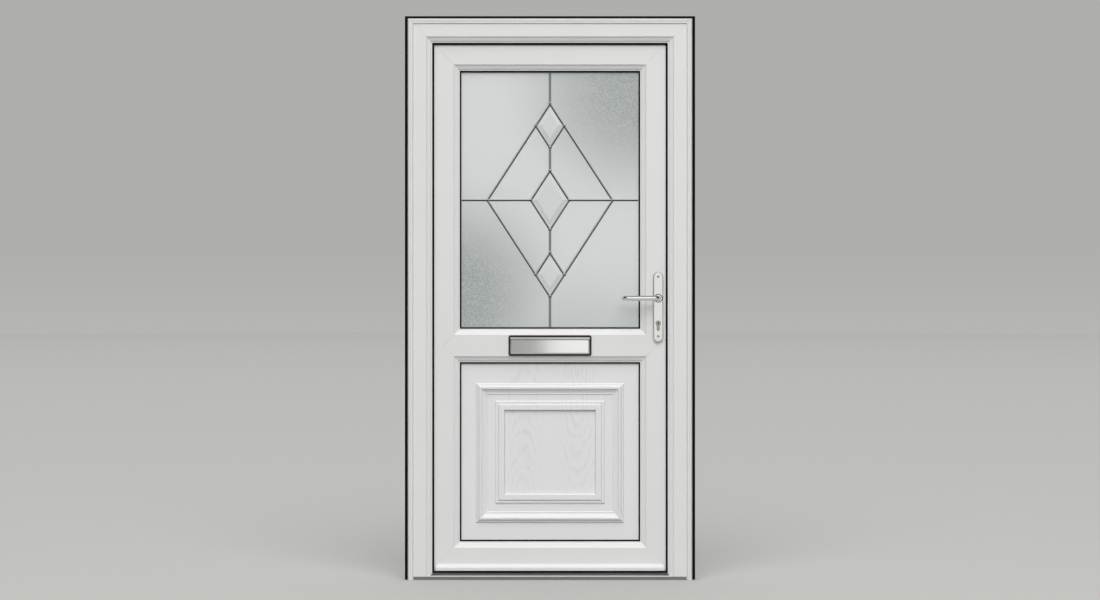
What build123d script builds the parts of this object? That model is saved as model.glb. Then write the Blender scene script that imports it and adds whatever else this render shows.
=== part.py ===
"""A white uPVC front door in its frame, with a leaded light over a moulded panel.

Millimetres, +Z up, outside towards -Y, hinges on the -X side. The origin lies on the floor, in the
middle of the threshold plate's underside.
"""

import os
from math import hypot

from build123d import *

os.makedirs("parts", exist_ok=True)

# Doorway and outer frame
OPENING_WIDTH = 866.0  # clear width between the outer flanges of the two jambs
HEAD_HEIGHT = 1973.0  # floor to the underside of the head's outer flange
FRAME_FACE = 68.0  # width of a frame bar seen from outside
FRAME_DEPTH = 70.0
FLANGE = 18.0  # thickness of the flanges on frame and sash
REBATE = 20.0  # how far each flange stands out from its bar
MOULDING = 22.0  # width of the sculptured edge on frame and sash
MOULDING_DEPTH = 11.0
QUIRK = 3.5  # depth of the step where a flat face meets its sculptured edge
QUIRK_WIDTH = 4.0
BAND_FALL = 3.2  # slope of the band between the quirk and the rounded nose
NOSE = 4.5  # width of the rounded nose
LAND = 4.5  # flat strip left along the edge of a flange
WELD_WIDTH = 2.0  # V groove left where a welded joint was cleaned
WELD_DEPTH = 0.8
THRESHOLD_HEIGHT = 12.0
THRESHOLD_SETBACK = 2.0  # threshold plate behind the frame's face
SILL_HEIGHT = 12.0  # sill nosing above the threshold plate
SILL_NOSE = 4.0  # upright front of the nosing
SILL_PLATFORM = 6.0  # sill behind its nosing, above the threshold plate
RAMP_THICK = 1.2  # metal ramp on the slope of the nosing
RAMP_FIT = 0.3

# Extension trims and the black seal round the outside
TRIM_FACE = 20.8
TRIM_PROUD = 5.0  # trim in front of the frame's face
TRIM_ROUND = 4.5
TRIM_BEAD = 7.0  # width of the rounded bead
TRIM_BEAD_RISE = 1.8
TRIM_FALL = 4.0  # width of the slope from the bead down to the frame's face
SEAL_SIDE = 10.5  # thickness of the seal beside the trims
SEAL_TOP = 7.0  # thickness of the seal above the head
SEAL_DEPTH = 30.0
SEAL_FLOOR_GAP = 3.0
SEAL_SETBACK = 2.0  # seal behind the front of the trims

# Opening leaf
SASH_DEPTH = 70.0
SASH_FACE = 108.5  # rebate edge of the sash to the edge of its glazing flange
SASH_LAP = 8.0  # how far the sash runs behind the frame's outer flange
SASH_FLOOR_GAP = 11.0  # sill platform to the lower edge of the sash
SEAL_GAP = 5.0  # gap for the gaskets between frame and sash
MID_RAIL_HEIGHT = 860.0
MID_RAIL_FACE = 123.0
EDGE_ROUND = 3.0  # rounded room-side edge of the sash
GROOVE_WIDTH = 16.0  # hardware groove round the edge of the sash
GROOVE_DEPTH = 3.0

# Gaskets
GASKET_LIP = 7.0  # black lip seen inside the frame's flange
GLASS_LIP = 5.5  # black lip seen round glass and panel
BEAD_LIP = 4.0  # black lip seen beside the beads
GASKET_ROOT = 5.0  # part of a gasket hidden behind its flange
LIP_RISE = 4.0  # how far a lip stands forward of its flange's back
LAP_GASKET_INSET = 2.0  # gasket in from the edge of the lap
SEAL_FIT = 0.3  # working gap left between a closed gasket and what it seals against

# Glass, leads and panel
UNIT_THICK = 28.0
PANE_THICK = 4.0
EDGE_COVER = 15.0  # glass and panel hidden behind the glazing flange
GLAZING_GASKET = 4.0
BEAD_GASKET = 3.0
BEAD_LAND = 4.0
BEAD_CURVE = 3.0  # how far the bead's face bows out
MITRE_GAP = 0.3  # hairline between beads at a corner
SPACER_WIDTH = 11.0
LEAD_WIDTH = 9.0
LEAD_RISE = 1.8
LEAD_SHOULDER = 2.0
BIG_DIAMOND = (231.0, 356.0)  # half width, half height
SMALL_DIAMOND = (52.5, 81.0)
CENTRE_DIAMOND = (70.5, 109.0)
BEVEL_RISE = 3.5
BEVEL_WIDTH = 11.0
BEVEL_FIT = 0.3
SKIN_THICK = 3.0
OUTER_MOULD_HALF = (273.5, 258.5)  # half width, half height of the outer moulding's outside
OUTER_MOULD_WIDTH = 46.5
OUTER_MOULD_RISE = 12.5
OUTER_CROWN = (17.0, 23.5)  # flat crown of the outer moulding, from its outside
OUTER_SHELF = (38.5, 42.5)  # flat shelf inside the crown
OUTER_SHELF_RISE = 2.8
INNER_MOULD_HALF = (202.0, 188.0)
INNER_MOULD_WIDTH = 37.0
INNER_MOULD_RISE = 8.5
INNER_CROWN = (18.0, 33.5)
MOULD_STEP = 3.2  # rise of the outer step of both mouldings
MOULD_LEDGE = 3.0  # narrow flat above that step
STEP_WIDTH = 3.6  # width of each sloping step
STEP_EASE = 0.4  # slight slope of the flats

# Letter plate
LETTER_WIDTH = 305.0
LETTER_HEIGHT = 75.5
LETTER_ROUND = 8.0
LETTER_THICK = 6.0
LETTER_CHAMFER = 1.0
LETTER_RIM = 7.0  # black rim left showing round the flap
SLOT_WIDTH = 258.0
SLOT_HEIGHT = 36.0
SLEEVE_WALL = 2.0
SLEEVE_FIT = 0.5
FLAP_THICK = 4.0
FLAP_BACK = 1.2  # thin back of the flap, which reaches up to its barrel
FLAP_BEVEL = 4.5
FLAP_ROUND = 5.5
FLAP_GROOVE = 0.8  # line between the raised face and the barrel
FLAP_FIT = 0.8  # gap between flap and plate
FLAP_BARREL = 2.8  # radius
FLAP_PIN = 1.4  # radius
EAR_WIDTH = 4.0
PIN_FIT = 0.06  # radial play of pins in their bores

# Lever handles and lock
HANDLE_FROM_EDGE = 43.0  # rebate edge of the lock stile to the spindle
HANDLE_HEIGHT = 1034.0
PLATE_WIDTH = 36.0
PLATE_ABOVE = 97.0  # spindle to the top of the plate
PLATE_BELOW = 161.0
PLATE_THICK = 10.0
PLATE_ROUND = 3.0
LEVER_REACH = 40.0  # plate to the middle of the lever
LEVER_LENGTH = 128.0
LEVER_TALL = 19.5
LEVER_THICK = 16.0
LEVER_BEND = 15.0
LEVER_RETURN = 22.0  # how far the tip turns back towards the door
LEVER_TIP_ROUND = 4.0
HUB_RADIUS = 14.0
HUB_LENGTH = 12.0
HUB_ROUND = 3.0
HUB_GAP = 0.6  # hub in front of its plate
SHANK_RADIUS = 9.0
SPINDLE = 8.0
SPINDLE_FIT = 0.1
SPINDLE_SOCKET = 16.0
SPINDLE_BORE = 9.0  # radius of the hole through the stile
CYLINDER_DROP = 92.0  # spindle to the middle of the key cylinder
CYLINDER_RADIUS = 9.5
CYLINDER_LEG = 28.0
CYLINDER_LEG_WIDTH = 10.5
CYLINDER_PROUD = 2.0
CYLINDER_FIT = 0.5
KEYWAY_WIDTH = 2.4
KEYWAY_HEIGHT = 9.0
KEYWAY_DEPTH = 12.0
FACEPLATE_END = 136.0  # end of the lock's faceplate to the end of the sash
KEEP_THICK = 2.5
KEEP_LENGTH = 140.0
KEEP_END = 120.0  # middle of a hook's keep to the end of the faceplate

# Weather bar
WEATHER_BAR_HEIGHT = 25.0
WEATHER_BAR_REACH = 16.0
WEATHER_BAR_NOSE = 13.0  # height of the upright nose
WEATHER_BAR_EASE = 2.0  # eased edges of the nose
WEATHER_BAR_RISE = 2.6  # above the lower edge of the sash
WEATHER_BAR_FIT = 4.0  # each end to the lip of the frame's gasket
WEATHER_BAR_SPLAY = 3.0  # ends slope back by this much from sash to nose
WEATHER_BAR_CORNER = 9.0  # upper corners cut off the ends

# Hinges
HINGE_END = 222.0  # middle of an end hinge to the end of the sash
HINGE_LENGTH = 100.0
HINGE_BARREL = 8.0  # radius
HINGE_PIN = 4.0  # radius
HINGE_CLEAR = 5.0  # barrel to the edge of the sash
HINGE_PLATE = 3.5
HINGE_FLAG = 46.0  # width of the flag on the sash
HINGE_INSET = 4.0  # hinge plates in from the edges they lie along
KNUCKLE_GAP = 0.5

# Frame fixings
FIXING_RADIUS = 4.0
FIXING_DEPTH = 10.0  # from the frame's mid-depth towards the room
FIXING_FIRST = 160.0
FIXING_STEP = 570.0
FIXING_COUNT = 4

# Depths, outside to inside
FRAME_FRONT = -FRAME_DEPTH / 2
FRAME_BACK = FRAME_DEPTH / 2
STOP = FRAME_FRONT + FLANGE
SASH_FRONT = STOP + SEAL_GAP
SASH_BACK = SASH_FRONT + SASH_DEPTH
LAP_FRONT = FRAME_BACK + SEAL_GAP
GLASS_STOP = SASH_FRONT + FLANGE
UNIT_FRONT = GLASS_STOP + GLAZING_GASKET
UNIT_BACK = UNIT_FRONT + UNIT_THICK
BEAD_FRONT = UNIT_BACK + BEAD_GASKET
SASH_MIDDLE = (SASH_FRONT + SASH_BACK) / 2
GROOVE_MIDDLE = (SASH_FRONT + LAP_FRONT) / 2

# Rectangles seen from the front, as (low x, high x, low z, high z)
HALF_OPENING = OPENING_WIDTH / 2
SILL_TOP = THRESHOLD_HEIGHT + SILL_HEIGHT
OPENING = (-HALF_OPENING, HALF_OPENING, SILL_TOP, HEAD_HEIGHT)
SASH_BOTTOM = THRESHOLD_HEIGHT + SILL_PLATFORM + SASH_FLOOR_GAP
SASH_HALF = HALF_OPENING + SASH_LAP
SASH_EDGE = (-SASH_HALF, SASH_HALF, SASH_BOTTOM, HEAD_HEIGHT + SASH_LAP)
MID_HALF = MID_RAIL_FACE / 2
SIGHT_HALF = SASH_HALF - SASH_FACE
UPPER = (-SIGHT_HALF, SIGHT_HALF, MID_RAIL_HEIGHT + MID_HALF, SASH_EDGE[3] - SASH_FACE)
LOWER = (-SIGHT_HALF, SIGHT_HALF, SASH_BOTTOM + SASH_FACE, MID_RAIL_HEIGHT - MID_HALF)
FAR = 5000.0  # longer than any bar


def polygon(*points):
    """A flat face with straight sides."""
    return make_face(Polyline(*points, close=True))


def closed_face(*runs):
    """A flat face bounded by lines laid end to end."""
    return make_face([edge for run in runs for edge in run.edges()])


def block(x, y, z):
    """A box between three (low, high) pairs."""
    middle = [(low + high) / 2 for low, high in (x, y, z)]
    return Pos(*middle) * Box(*[high - low for low, high in (x, y, z)])


def from_front(face, near, far):
    """A face drawn as seen from outside, given thickness from depth near to depth far."""
    plane = Plane(origin=(0, far, 0), x_dir=(1, 0, 0), z_dir=(0, -1, 0))
    return extrude(plane * face, amount=far - near)


def grown(rect, by):
    """A rectangle made larger on all four sides."""
    return (rect[0] - by, rect[1] + by, rect[2] - by, rect[3] + by)


def flat_rect(rect):
    """A rectangle as a flat face."""
    x0, x1, z0, z1 = rect
    return polygon((x0, z0), (x1, z0), (x1, z1), (x0, z1))


def middle_of(rect):
    """The middle of a rectangle."""
    return ((rect[0] + rect[1]) / 2, (rect[2] + rect[3]) / 2)


def run(section, edge, inward):
    """A section run endlessly along one side; its X points inward from edge, its Y is depth."""
    along = Vector(*inward).cross(Vector(0, 1, 0))
    plane = Plane(origin=edge, x_dir=inward, z_dir=along)
    return extrude(plane * section, amount=FAR, both=True)


def trimmed(shape, *outline):
    """What of a shape lies inside an outline seen from the front."""
    return shape & from_front(polygon(*outline), -FAR, FAR)


def mitred_bars(section, rect, width, gap=0.0):
    """Left, right, top and bottom bars along the inside of a rectangle, mitred at the corners."""
    x0, x1, z0, z1 = rect
    w = width
    g = gap
    left = run(section, (x0, 0, 0), (1, 0, 0))
    right = run(section, (x1, 0, 0), (-1, 0, 0))
    top = run(section, (0, 0, z1), (0, 0, -1))
    bottom = run(section, (0, 0, z0), (0, 0, 1))
    return [
        trimmed(left, (x0, z0 + g), (x0 + w, z0 + w + g), (x0 + w, z1 - w - g), (x0, z1 - g)),
        trimmed(right, (x1, z0 + g), (x1 - w, z0 + w + g), (x1 - w, z1 - w - g), (x1, z1 - g)),
        trimmed(top, (x0 + g, z1), (x0 + w + g, z1 - w), (x1 - w - g, z1 - w), (x1 - g, z1)),
        trimmed(bottom, (x0 + g, z0), (x0 + w + g, z0 + w), (x1 - w - g, z0 + w), (x1 - g, z0)),
    ]


def ring(section, rect, width):
    """A closed frame of one section, joined at the corners."""
    left, right, top, bottom = mitred_bars(section, rect, width)
    return left + right + top + bottom


def moulding(edge, front):
    """Sculptured edge of a flange: a quirk, a sloping band, a rounded nose and a narrow land."""
    start = edge - MOULDING
    nose = edge - LAND - NOSE
    band_low = front + QUIRK + BAND_FALL
    low = front + MOULDING_DEPTH
    back = front + FLANGE
    band = Polyline((start, front), (start + QUIRK_WIDTH, front + QUIRK), (nose, band_low))
    ovolo = EllipticalCenterArc((nose, low), NOSE, low - band_low, 270, arc_size=90)
    lip = Polyline((edge - LAND, low), (edge, low), (edge, back), (edge - REBATE, back))
    return band + ovolo + lip


def weld_groove(start, end, face, inward):
    """A shallow V cut along a weld line in a front (inward 1) or back (inward -1) face."""
    along = Vector(end[0] - start[0], 0, end[1] - start[1])
    plane = Plane(origin=(start[0], face, start[1]), x_dir=Vector(0, 1, 0).cross(along), z_dir=along)
    depth = WELD_DEPTH * inward
    section = polygon((-WELD_WIDTH, -depth), (WELD_WIDTH, -depth), (0, depth))
    return extrude(plane * section, amount=along.length)


def save(name, shape):
    """Write one piece."""
    export_step(shape, f"parts/{name}.step")


# Frame: jambs, head and sill
frame_outer = grown(OPENING, FRAME_FACE)
frame_section = closed_face(
    moulding(FRAME_FACE, FRAME_FRONT),
    Polyline(
        (FRAME_FACE - REBATE, STOP),
        (FRAME_FACE - REBATE, FRAME_BACK),
        (0, FRAME_BACK),
        (0, FRAME_FRONT),
        (FRAME_FACE - MOULDING, FRAME_FRONT),
    ),
)
xo = HALF_OPENING + FRAME_FACE
top_outer = HEAD_HEIGHT + FRAME_FACE
foot = SILL_TOP - THRESHOLD_HEIGHT
jamb = trimmed(
    run(frame_section, (-xo, 0, 0), (1, 0, 0)),
    (-xo, THRESHOLD_HEIGHT),
    (-HALF_OPENING - foot, THRESHOLD_HEIGHT),
    (-HALF_OPENING, SILL_TOP),
    (-HALF_OPENING, HEAD_HEIGHT),
    (-xo, top_outer),
)
frame_head = trimmed(
    run(frame_section, (0, 0, top_outer), (0, 0, -1)),
    (-xo, top_outer),
    (-HALF_OPENING, HEAD_HEIGHT),
    (HALF_OPENING, HEAD_HEIGHT),
    (xo, top_outer),
)
nosing = polygon(
    (0, FRAME_FRONT),
    (SILL_NOSE, FRAME_FRONT),
    (SILL_HEIGHT, FRAME_FRONT + MOULDING_DEPTH),
    (SILL_HEIGHT, STOP),
    (0, STOP),
)
frame_sill = trimmed(
    run(nosing, (0, 0, THRESHOLD_HEIGHT), (0, 0, 1)),
    (-HALF_OPENING - foot, THRESHOLD_HEIGHT),
    (-HALF_OPENING, SILL_TOP),
    (HALF_OPENING, SILL_TOP),
    (HALF_OPENING + foot, THRESHOLD_HEIGHT),
)
rebate_half = HALF_OPENING + REBATE
frame_sill += block(
    (-rebate_half, rebate_half),
    (STOP, FRAME_BACK),
    (THRESHOLD_HEIGHT, THRESHOLD_HEIGHT + SILL_PLATFORM),
)
threshold_plate = block(
    (-xo, xo), (FRAME_FRONT + THRESHOLD_SETBACK, FRAME_BACK), (0, THRESHOLD_HEIGHT)
)

# Metal ramp lying on the slope of the sill's nosing
ramp_low = Vector(SILL_NOSE, FRAME_FRONT)
ramp_high = Vector(SILL_HEIGHT, FRAME_FRONT + MOULDING_DEPTH)
ramp_along = (ramp_high - ramp_low).normalized()
ramp_out = Vector(ramp_along.Y, -ramp_along.X) * RAMP_THICK
ramp_section = polygon(ramp_low, ramp_high, ramp_high + ramp_out, ramp_low + ramp_out)
ramp_half = HALF_OPENING - RAMP_FIT
sill_ramp = trimmed(
    run(ramp_section, (0, 0, THRESHOLD_HEIGHT), (0, 0, 1)),
    (-ramp_half - foot, THRESHOLD_HEIGHT),
    (-ramp_half, SILL_TOP),
    (ramp_half, SILL_TOP),
    (ramp_half + foot, THRESHOLD_HEIGHT),
)

# Weld lines at the frame's upper corners
for face, inward in ((FRAME_FRONT, 1), (FRAME_BACK, -1)):
    for s in (-1, 1):
        line = weld_groove((s * xo, top_outer), (s * HALF_OPENING, HEAD_HEIGHT), face, inward)
        frame_head -= line
        jamb -= line

# Trims with a rounded outer edge and a bead beside the frame, and the seal outside them
trim_front = FRAME_FRONT - TRIM_PROUD
bead_end = TRIM_FACE - TRIM_FALL
bead_start = bead_end - TRIM_BEAD
trim_section = closed_face(
    Polyline((bead_end, trim_front), (TRIM_FACE, FRAME_FRONT), (TRIM_FACE, FRAME_BACK), (0, FRAME_BACK)),
    Line((0, FRAME_BACK), (0, trim_front + TRIM_ROUND)),
    RadiusArc((0, trim_front + TRIM_ROUND), (TRIM_ROUND, trim_front), TRIM_ROUND),
    Line((TRIM_ROUND, trim_front), (bead_start, trim_front)),
    SagittaArc((bead_start, trim_front), (bead_end, trim_front), TRIM_BEAD_RISE),
)
xt = xo + TRIM_FACE
trim_top = top_outer + TRIM_FACE
side_trim = trimmed(
    run(trim_section, (-xt, 0, 0), (1, 0, 0)), (-xt, 0), (-xo, 0), (-xo, top_outer), (-xt, trim_top)
)
trim_head = trimmed(
    run(trim_section, (0, 0, trim_top), (0, 0, -1)),
    (-xt, trim_top),
    (-xo, top_outer),
    (xo, top_outer),
    (xt, trim_top),
)
seal_depth = (trim_front + SEAL_SETBACK, trim_front + SEAL_SETBACK + SEAL_DEPTH)
seal_left = block((-xt - SEAL_SIDE, -xt), seal_depth, (SEAL_FLOOR_GAP, trim_top - MITRE_GAP))
seal_head = block((-xt - SEAL_SIDE, xt + SEAL_SIDE), seal_depth, (trim_top, trim_top + SEAL_TOP))

# Fixing holes through jamb and trim
fixing_heights = [FIXING_FIRST + FIXING_STEP * i for i in range(FIXING_COUNT)]
for height in fixing_heights:
    drill = Pos(-xo, FIXING_DEPTH, height) * Rot(0, 90, 0) * Cylinder(FIXING_RADIUS, 4 * FRAME_FACE)
    jamb -= drill
    side_trim -= drill

mirror_x = Plane.YZ
save("frame_head", frame_head)
save("frame_hinge_jamb", jamb)
save("frame_lock_jamb", mirror(jamb, mirror_x))
save("frame_sill", frame_sill)
save("sill_ramp", sill_ramp)
save("threshold_plate", threshold_plate)
save("trim_head", trim_head)
save("trim_hinge_side", side_trim)
save("trim_lock_side", mirror(side_trim, mirror_x))
save("perimeter_seal", Compound([seal_head, seal_left, mirror(seal_left, mirror_x)]))

# Gasket between the frame's flange and the closed sash
lip = GASKET_ROOT + GASKET_LIP
gasket_back = SASH_FRONT - SEAL_FIT
frame_gasket_section = polygon(
    (0, STOP),
    (GASKET_ROOT, STOP),
    (GASKET_ROOT, STOP - LIP_RISE),
    (lip, STOP),
    (lip, gasket_back),
    (0, gasket_back),
)
save("frame_gasket", ring(frame_gasket_section, grown(OPENING, GASKET_ROOT), lip))

# Sash: stiles and rails, drawn from the edge of the lap that covers the frame on the room side
lap_rect = grown(SASH_EDGE, REBATE)
sash_width = REBATE + SASH_FACE
groove = (GROOVE_MIDDLE - GROOVE_WIDTH / 2, GROOVE_MIDDLE + GROOVE_WIDTH / 2)
sash_section = closed_face(
    moulding(sash_width, SASH_FRONT),
    Polyline(
        (sash_width - REBATE, GLASS_STOP),
        (sash_width - REBATE, SASH_BACK),
        (EDGE_ROUND, SASH_BACK),
        (0, SASH_BACK - EDGE_ROUND),
        (0, LAP_FRONT),
        (REBATE, LAP_FRONT),
        (REBATE, groove[1]),
        (REBATE + GROOVE_DEPTH, groove[1]),
        (REBATE + GROOVE_DEPTH, groove[0]),
        (REBATE, groove[0]),
        (REBATE, SASH_FRONT),
        (sash_width - MOULDING, SASH_FRONT),
    ),
)
stile_bar, _, top_rail, bottom_rail = mitred_bars(sash_section, lap_rect, sash_width)
half_rail = moulding(MID_HALF, SASH_FRONT)
mid_section = closed_face(
    half_rail,
    Polyline((MID_HALF - REBATE, GLASS_STOP), (MID_HALF - REBATE, SASH_BACK), (0, SASH_BACK)),
    Line((0, SASH_FRONT), (MID_HALF - MOULDING, SASH_FRONT)),
    Line((0, SASH_FRONT), (0, SASH_BACK)),
)
mid_section += mirror(mid_section, Plane.YZ)
mid_outline = (
    (-SIGHT_HALF, MID_RAIL_HEIGHT - MID_HALF),
    (SIGHT_HALF, MID_RAIL_HEIGHT - MID_HALF),
    (SIGHT_HALF + MID_HALF, MID_RAIL_HEIGHT),
    (SIGHT_HALF, MID_RAIL_HEIGHT + MID_HALF),
    (-SIGHT_HALF, MID_RAIL_HEIGHT + MID_HALF),
    (-SIGHT_HALF - MID_HALF, MID_RAIL_HEIGHT),
)
mid_rail = trimmed(run(mid_section, (0, 0, MID_RAIL_HEIGHT), (0, 0, 1)), *mid_outline)
stile = stile_bar - from_front(polygon(*mid_outline), -FAR, FAR)

# Weld lines of the sash: four mitred corners and the two pointed ends of the middle rail
weld_ends = []
for z_lap, z_sight in ((lap_rect[2], LOWER[2]), (lap_rect[3], UPPER[3])):
    weld_ends += [((s * lap_rect[1], z_lap), (s * SIGHT_HALF, z_sight)) for s in (-1, 1)]
for z_sight in (LOWER[3], UPPER[2]):
    point = SIGHT_HALF + MID_HALF
    weld_ends += [((s * point, MID_RAIL_HEIGHT), (s * SIGHT_HALF, z_sight)) for s in (-1, 1)]
for face, inward in ((SASH_FRONT, 1), (SASH_BACK, -1)):
    for start, end in weld_ends:
        line = weld_groove(start, end, face, inward)
        stile -= line
        top_rail -= line
        mid_rail -= line
        bottom_rail -= line
lock_stile = mirror(stile, mirror_x)

# Gasket on the lap, closing against the frame from the room side
lap_gasket_section = polygon(
    (0, LAP_FRONT),
    (0, FRAME_BACK + SEAL_FIT),
    (lip - GASKET_ROOT, FRAME_BACK + SEAL_FIT),
    (lip, LAP_FRONT),
)
save("sash_gasket", ring(lap_gasket_section, grown(lap_rect, -LAP_GASKET_INSET), lip))


def glazing(rect, name):
    """Gaskets and beads that hold a glass unit or a panel in one opening of the sash."""
    rebate_rect = grown(rect, REBATE)
    outer_gasket = polygon(
        (0, GLASS_STOP),
        (GASKET_ROOT, GLASS_STOP),
        (GASKET_ROOT, GLASS_STOP - LIP_RISE),
        (GASKET_ROOT + GLASS_LIP, GLASS_STOP),
        (GASKET_ROOT + GLASS_LIP, UNIT_FRONT),
        (0, UNIT_FRONT),
    )
    inner_gasket = polygon(
        (0, UNIT_BACK),
        (GASKET_ROOT + BEAD_LIP, UNIT_BACK),
        (GASKET_ROOT + BEAD_LIP, BEAD_FRONT),
        (0, BEAD_FRONT),
    )
    gasket_rect = grown(rect, GASKET_ROOT)
    outer = ring(outer_gasket, gasket_rect, lip)
    inner = ring(inner_gasket, gasket_rect, lip)
    save(f"{name}_gaskets", Compound([outer, inner]))
    bead = closed_face(
        Polyline((BEAD_LAND, SASH_BACK), (0, SASH_BACK), (0, BEAD_FRONT), (REBATE, BEAD_FRONT)),
        Line((REBATE, BEAD_FRONT), (REBATE, BEAD_FRONT + BEAD_LAND)),
        SagittaArc((REBATE, BEAD_FRONT + BEAD_LAND), (BEAD_LAND, SASH_BACK), -BEAD_CURVE),
    )
    save(f"{name}_beads", Compound(mitred_bars(bead, rebate_rect, REBATE, MITRE_GAP)))


glazing(UPPER, "glass")
glazing(LOWER, "panel")

# Sealed glass unit
glass_rect = grown(UPPER, EDGE_COVER)
save("glass_outer_pane", from_front(flat_rect(glass_rect), UNIT_FRONT, UNIT_FRONT + PANE_THICK))
save("glass_inner_pane", from_front(flat_rect(glass_rect), UNIT_BACK - PANE_THICK, UNIT_BACK))
spacer = flat_rect(glass_rect) - flat_rect(grown(glass_rect, -SPACER_WIDTH))
save("glass_spacer", from_front(spacer, UNIT_FRONT + PANE_THICK, UNIT_BACK - PANE_THICK))

# Lead strips on the outer pane: a large diamond, three small ones and the strips between them
light_x, light_z = middle_of(UPPER)
wide, tall = BIG_DIAMOND
tip_z = tall - SMALL_DIAMOND[1]
inner_tip_z = tall - 2 * SMALL_DIAMOND[1]
cut = SMALL_DIAMOND[0]
mid_x, mid_z = CENTRE_DIAMOND
lead_end_x = UPPER[1] - lip + GASKET_ROOT
lead_end_z = UPPER[3] - light_z - lip + GASKET_ROOT
quarter_strips = [
    ((0, tall), (wide, 0)),
    ((cut, tip_z), (0, inner_tip_z)),
    ((0, mid_z), (mid_x, 0)),
]


def lead_strip(start, end):
    """One lead strip between two points of the pattern, with sloping shoulders."""
    (x0, z0), (x1, z1) = start, end
    length = hypot(x1 - x0, z1 - z0)
    half = LEAD_WIDTH / 2
    section = polygon(
        (-half, 0),
        (half, 0),
        (half, LEAD_RISE / 3),
        (half - LEAD_SHOULDER, LEAD_RISE),
        (LEAD_SHOULDER - half, LEAD_RISE),
        (-half, LEAD_RISE / 3),
    )
    along = Vector((x1 - x0) / length, 0, (z1 - z0) / length)
    origin = (light_x + x0, UNIT_FRONT, light_z + z0)
    plane = Plane(origin=origin, x_dir=Vector(0, -1, 0).cross(along), z_dir=along)
    return extrude(plane * section, amount=length)


def solder_joint(point, radius):
    """A flattened disc of solder where strips meet."""
    plane = Plane(origin=(light_x + point[0], UNIT_FRONT, light_z + point[1]), z_dir=(0, -1, 0))
    return extrude(plane * RegularPolygon(radius, 8), amount=LEAD_RISE)


strips = []
joints = []
for sx, sz in ((1, 1), (-1, 1), (1, -1), (-1, -1)):
    for (ax, az), (bx, bz) in quarter_strips:
        strips.append(lead_strip((sx * ax, sz * az), (sx * bx, sz * bz)))
    joints.append((sx * cut, sz * tip_z))
for s in (1, -1):
    strips.append(lead_strip((0, s * tall), (0, s * lead_end_z)))
    strips.append(lead_strip((0, s * inner_tip_z), (0, s * mid_z)))
    strips.append(lead_strip((s * mid_x, 0), (s * wide, 0)))
    strips.append(lead_strip((s * wide, 0), (s * lead_end_x, 0)))
    joints += [(0, s * tall), (0, s * inner_tip_z), (0, s * mid_z), (s * mid_x, 0), (s * wide, 0)]
leads = strips[0]
for piece in strips[1:] + [solder_joint(point, LEAD_WIDTH * 0.75) for point in joints]:
    leads += piece
save("lead_cames", leads)


def bevelled_diamond(centre_z, half):
    """A diamond of bevelled glass fitted inside its leads."""
    a, b = half
    inner_radius = a * b / hypot(a, b)
    clear = LEAD_WIDTH / 2 * 1.5 + BEVEL_FIT
    faces = []
    for inset, rise in ((clear, 0.0), (clear + BEVEL_WIDTH, BEVEL_RISE)):
        k = (inner_radius - inset) / inner_radius
        plane = Plane(
            origin=(light_x, UNIT_FRONT - rise, light_z + centre_z), x_dir=(1, 0, 0), z_dir=(0, -1, 0)
        )
        faces.append(plane * polygon((a * k, 0), (0, b * k), (-a * k, 0), (0, -b * k)))
    return loft(faces)


bevel_step = tall - SMALL_DIAMOND[1]
bevels = [
    bevelled_diamond(bevel_step, SMALL_DIAMOND),
    bevelled_diamond(0.0, CENTRE_DIAMOND),
    bevelled_diamond(-bevel_step, SMALL_DIAMOND),
]
save("glass_bevels", Compound(bevels))

# Moulded panel: two skins with raised mouldings on a foam core
panel_rect = grown(LOWER, EDGE_COVER)
panel_x, panel_z = middle_of(LOWER)


def mould_rect(half):
    """A rectangle of given half sizes round the middle of the panel."""
    return (panel_x - half[0], panel_x + half[0], panel_z - half[1], panel_z + half[1])


surface = UNIT_FRONT
step = surface - MOULD_STEP
ledge = step - STEP_EASE
ledge_end = STEP_WIDTH + MOULD_LEDGE
high = surface - OUTER_MOULD_RISE
shelf = surface - OUTER_SHELF_RISE
cove_top = (OUTER_CROWN[1] + STEP_WIDTH, high + STEP_WIDTH)
outer_mould = closed_face(
    Polyline((OUTER_MOULD_WIDTH, surface), (0, surface), (STEP_WIDTH, step), (ledge_end, ledge)),
    SagittaArc((ledge_end, ledge), (OUTER_CROWN[0], high), 1.0),
    Polyline((OUTER_CROWN[0], high), (OUTER_CROWN[1], high), cove_top),
    SagittaArc(cove_top, (OUTER_SHELF[0], shelf), -0.8),
    Polyline((OUTER_SHELF[0], shelf), (OUTER_SHELF[1], shelf), (OUTER_MOULD_WIDTH, surface)),
)
crown = surface - INNER_MOULD_RISE
inner_mould = polygon(
    (0, surface),
    (STEP_WIDTH, step),
    (ledge_end + MOULD_LEDGE, ledge),
    (INNER_CROWN[0] - STEP_WIDTH, crown + MOULD_STEP * STEP_EASE),
    (INNER_CROWN[0], crown),
    (INNER_CROWN[1], crown),
    (INNER_MOULD_WIDTH - STEP_EASE, surface - STEP_EASE),
    (INNER_MOULD_WIDTH, surface),
)
mouldings = ring(outer_mould, mould_rect(OUTER_MOULD_HALF), OUTER_MOULD_WIDTH)
mouldings += ring(inner_mould, mould_rect(INNER_MOULD_HALF), INNER_MOULD_WIDTH)
skin = from_front(flat_rect(panel_rect), UNIT_FRONT, UNIT_FRONT + SKIN_THICK) + mouldings
unit_middle = Plane(origin=(0, (UNIT_FRONT + UNIT_BACK) / 2, 0), z_dir=(0, 1, 0))
save("panel_outer_skin", skin)
save("panel_inner_skin", mirror(skin, unit_middle))
save("panel_core", from_front(flat_rect(panel_rect), UNIT_FRONT + SKIN_THICK, UNIT_BACK - SKIN_THICK))

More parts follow.
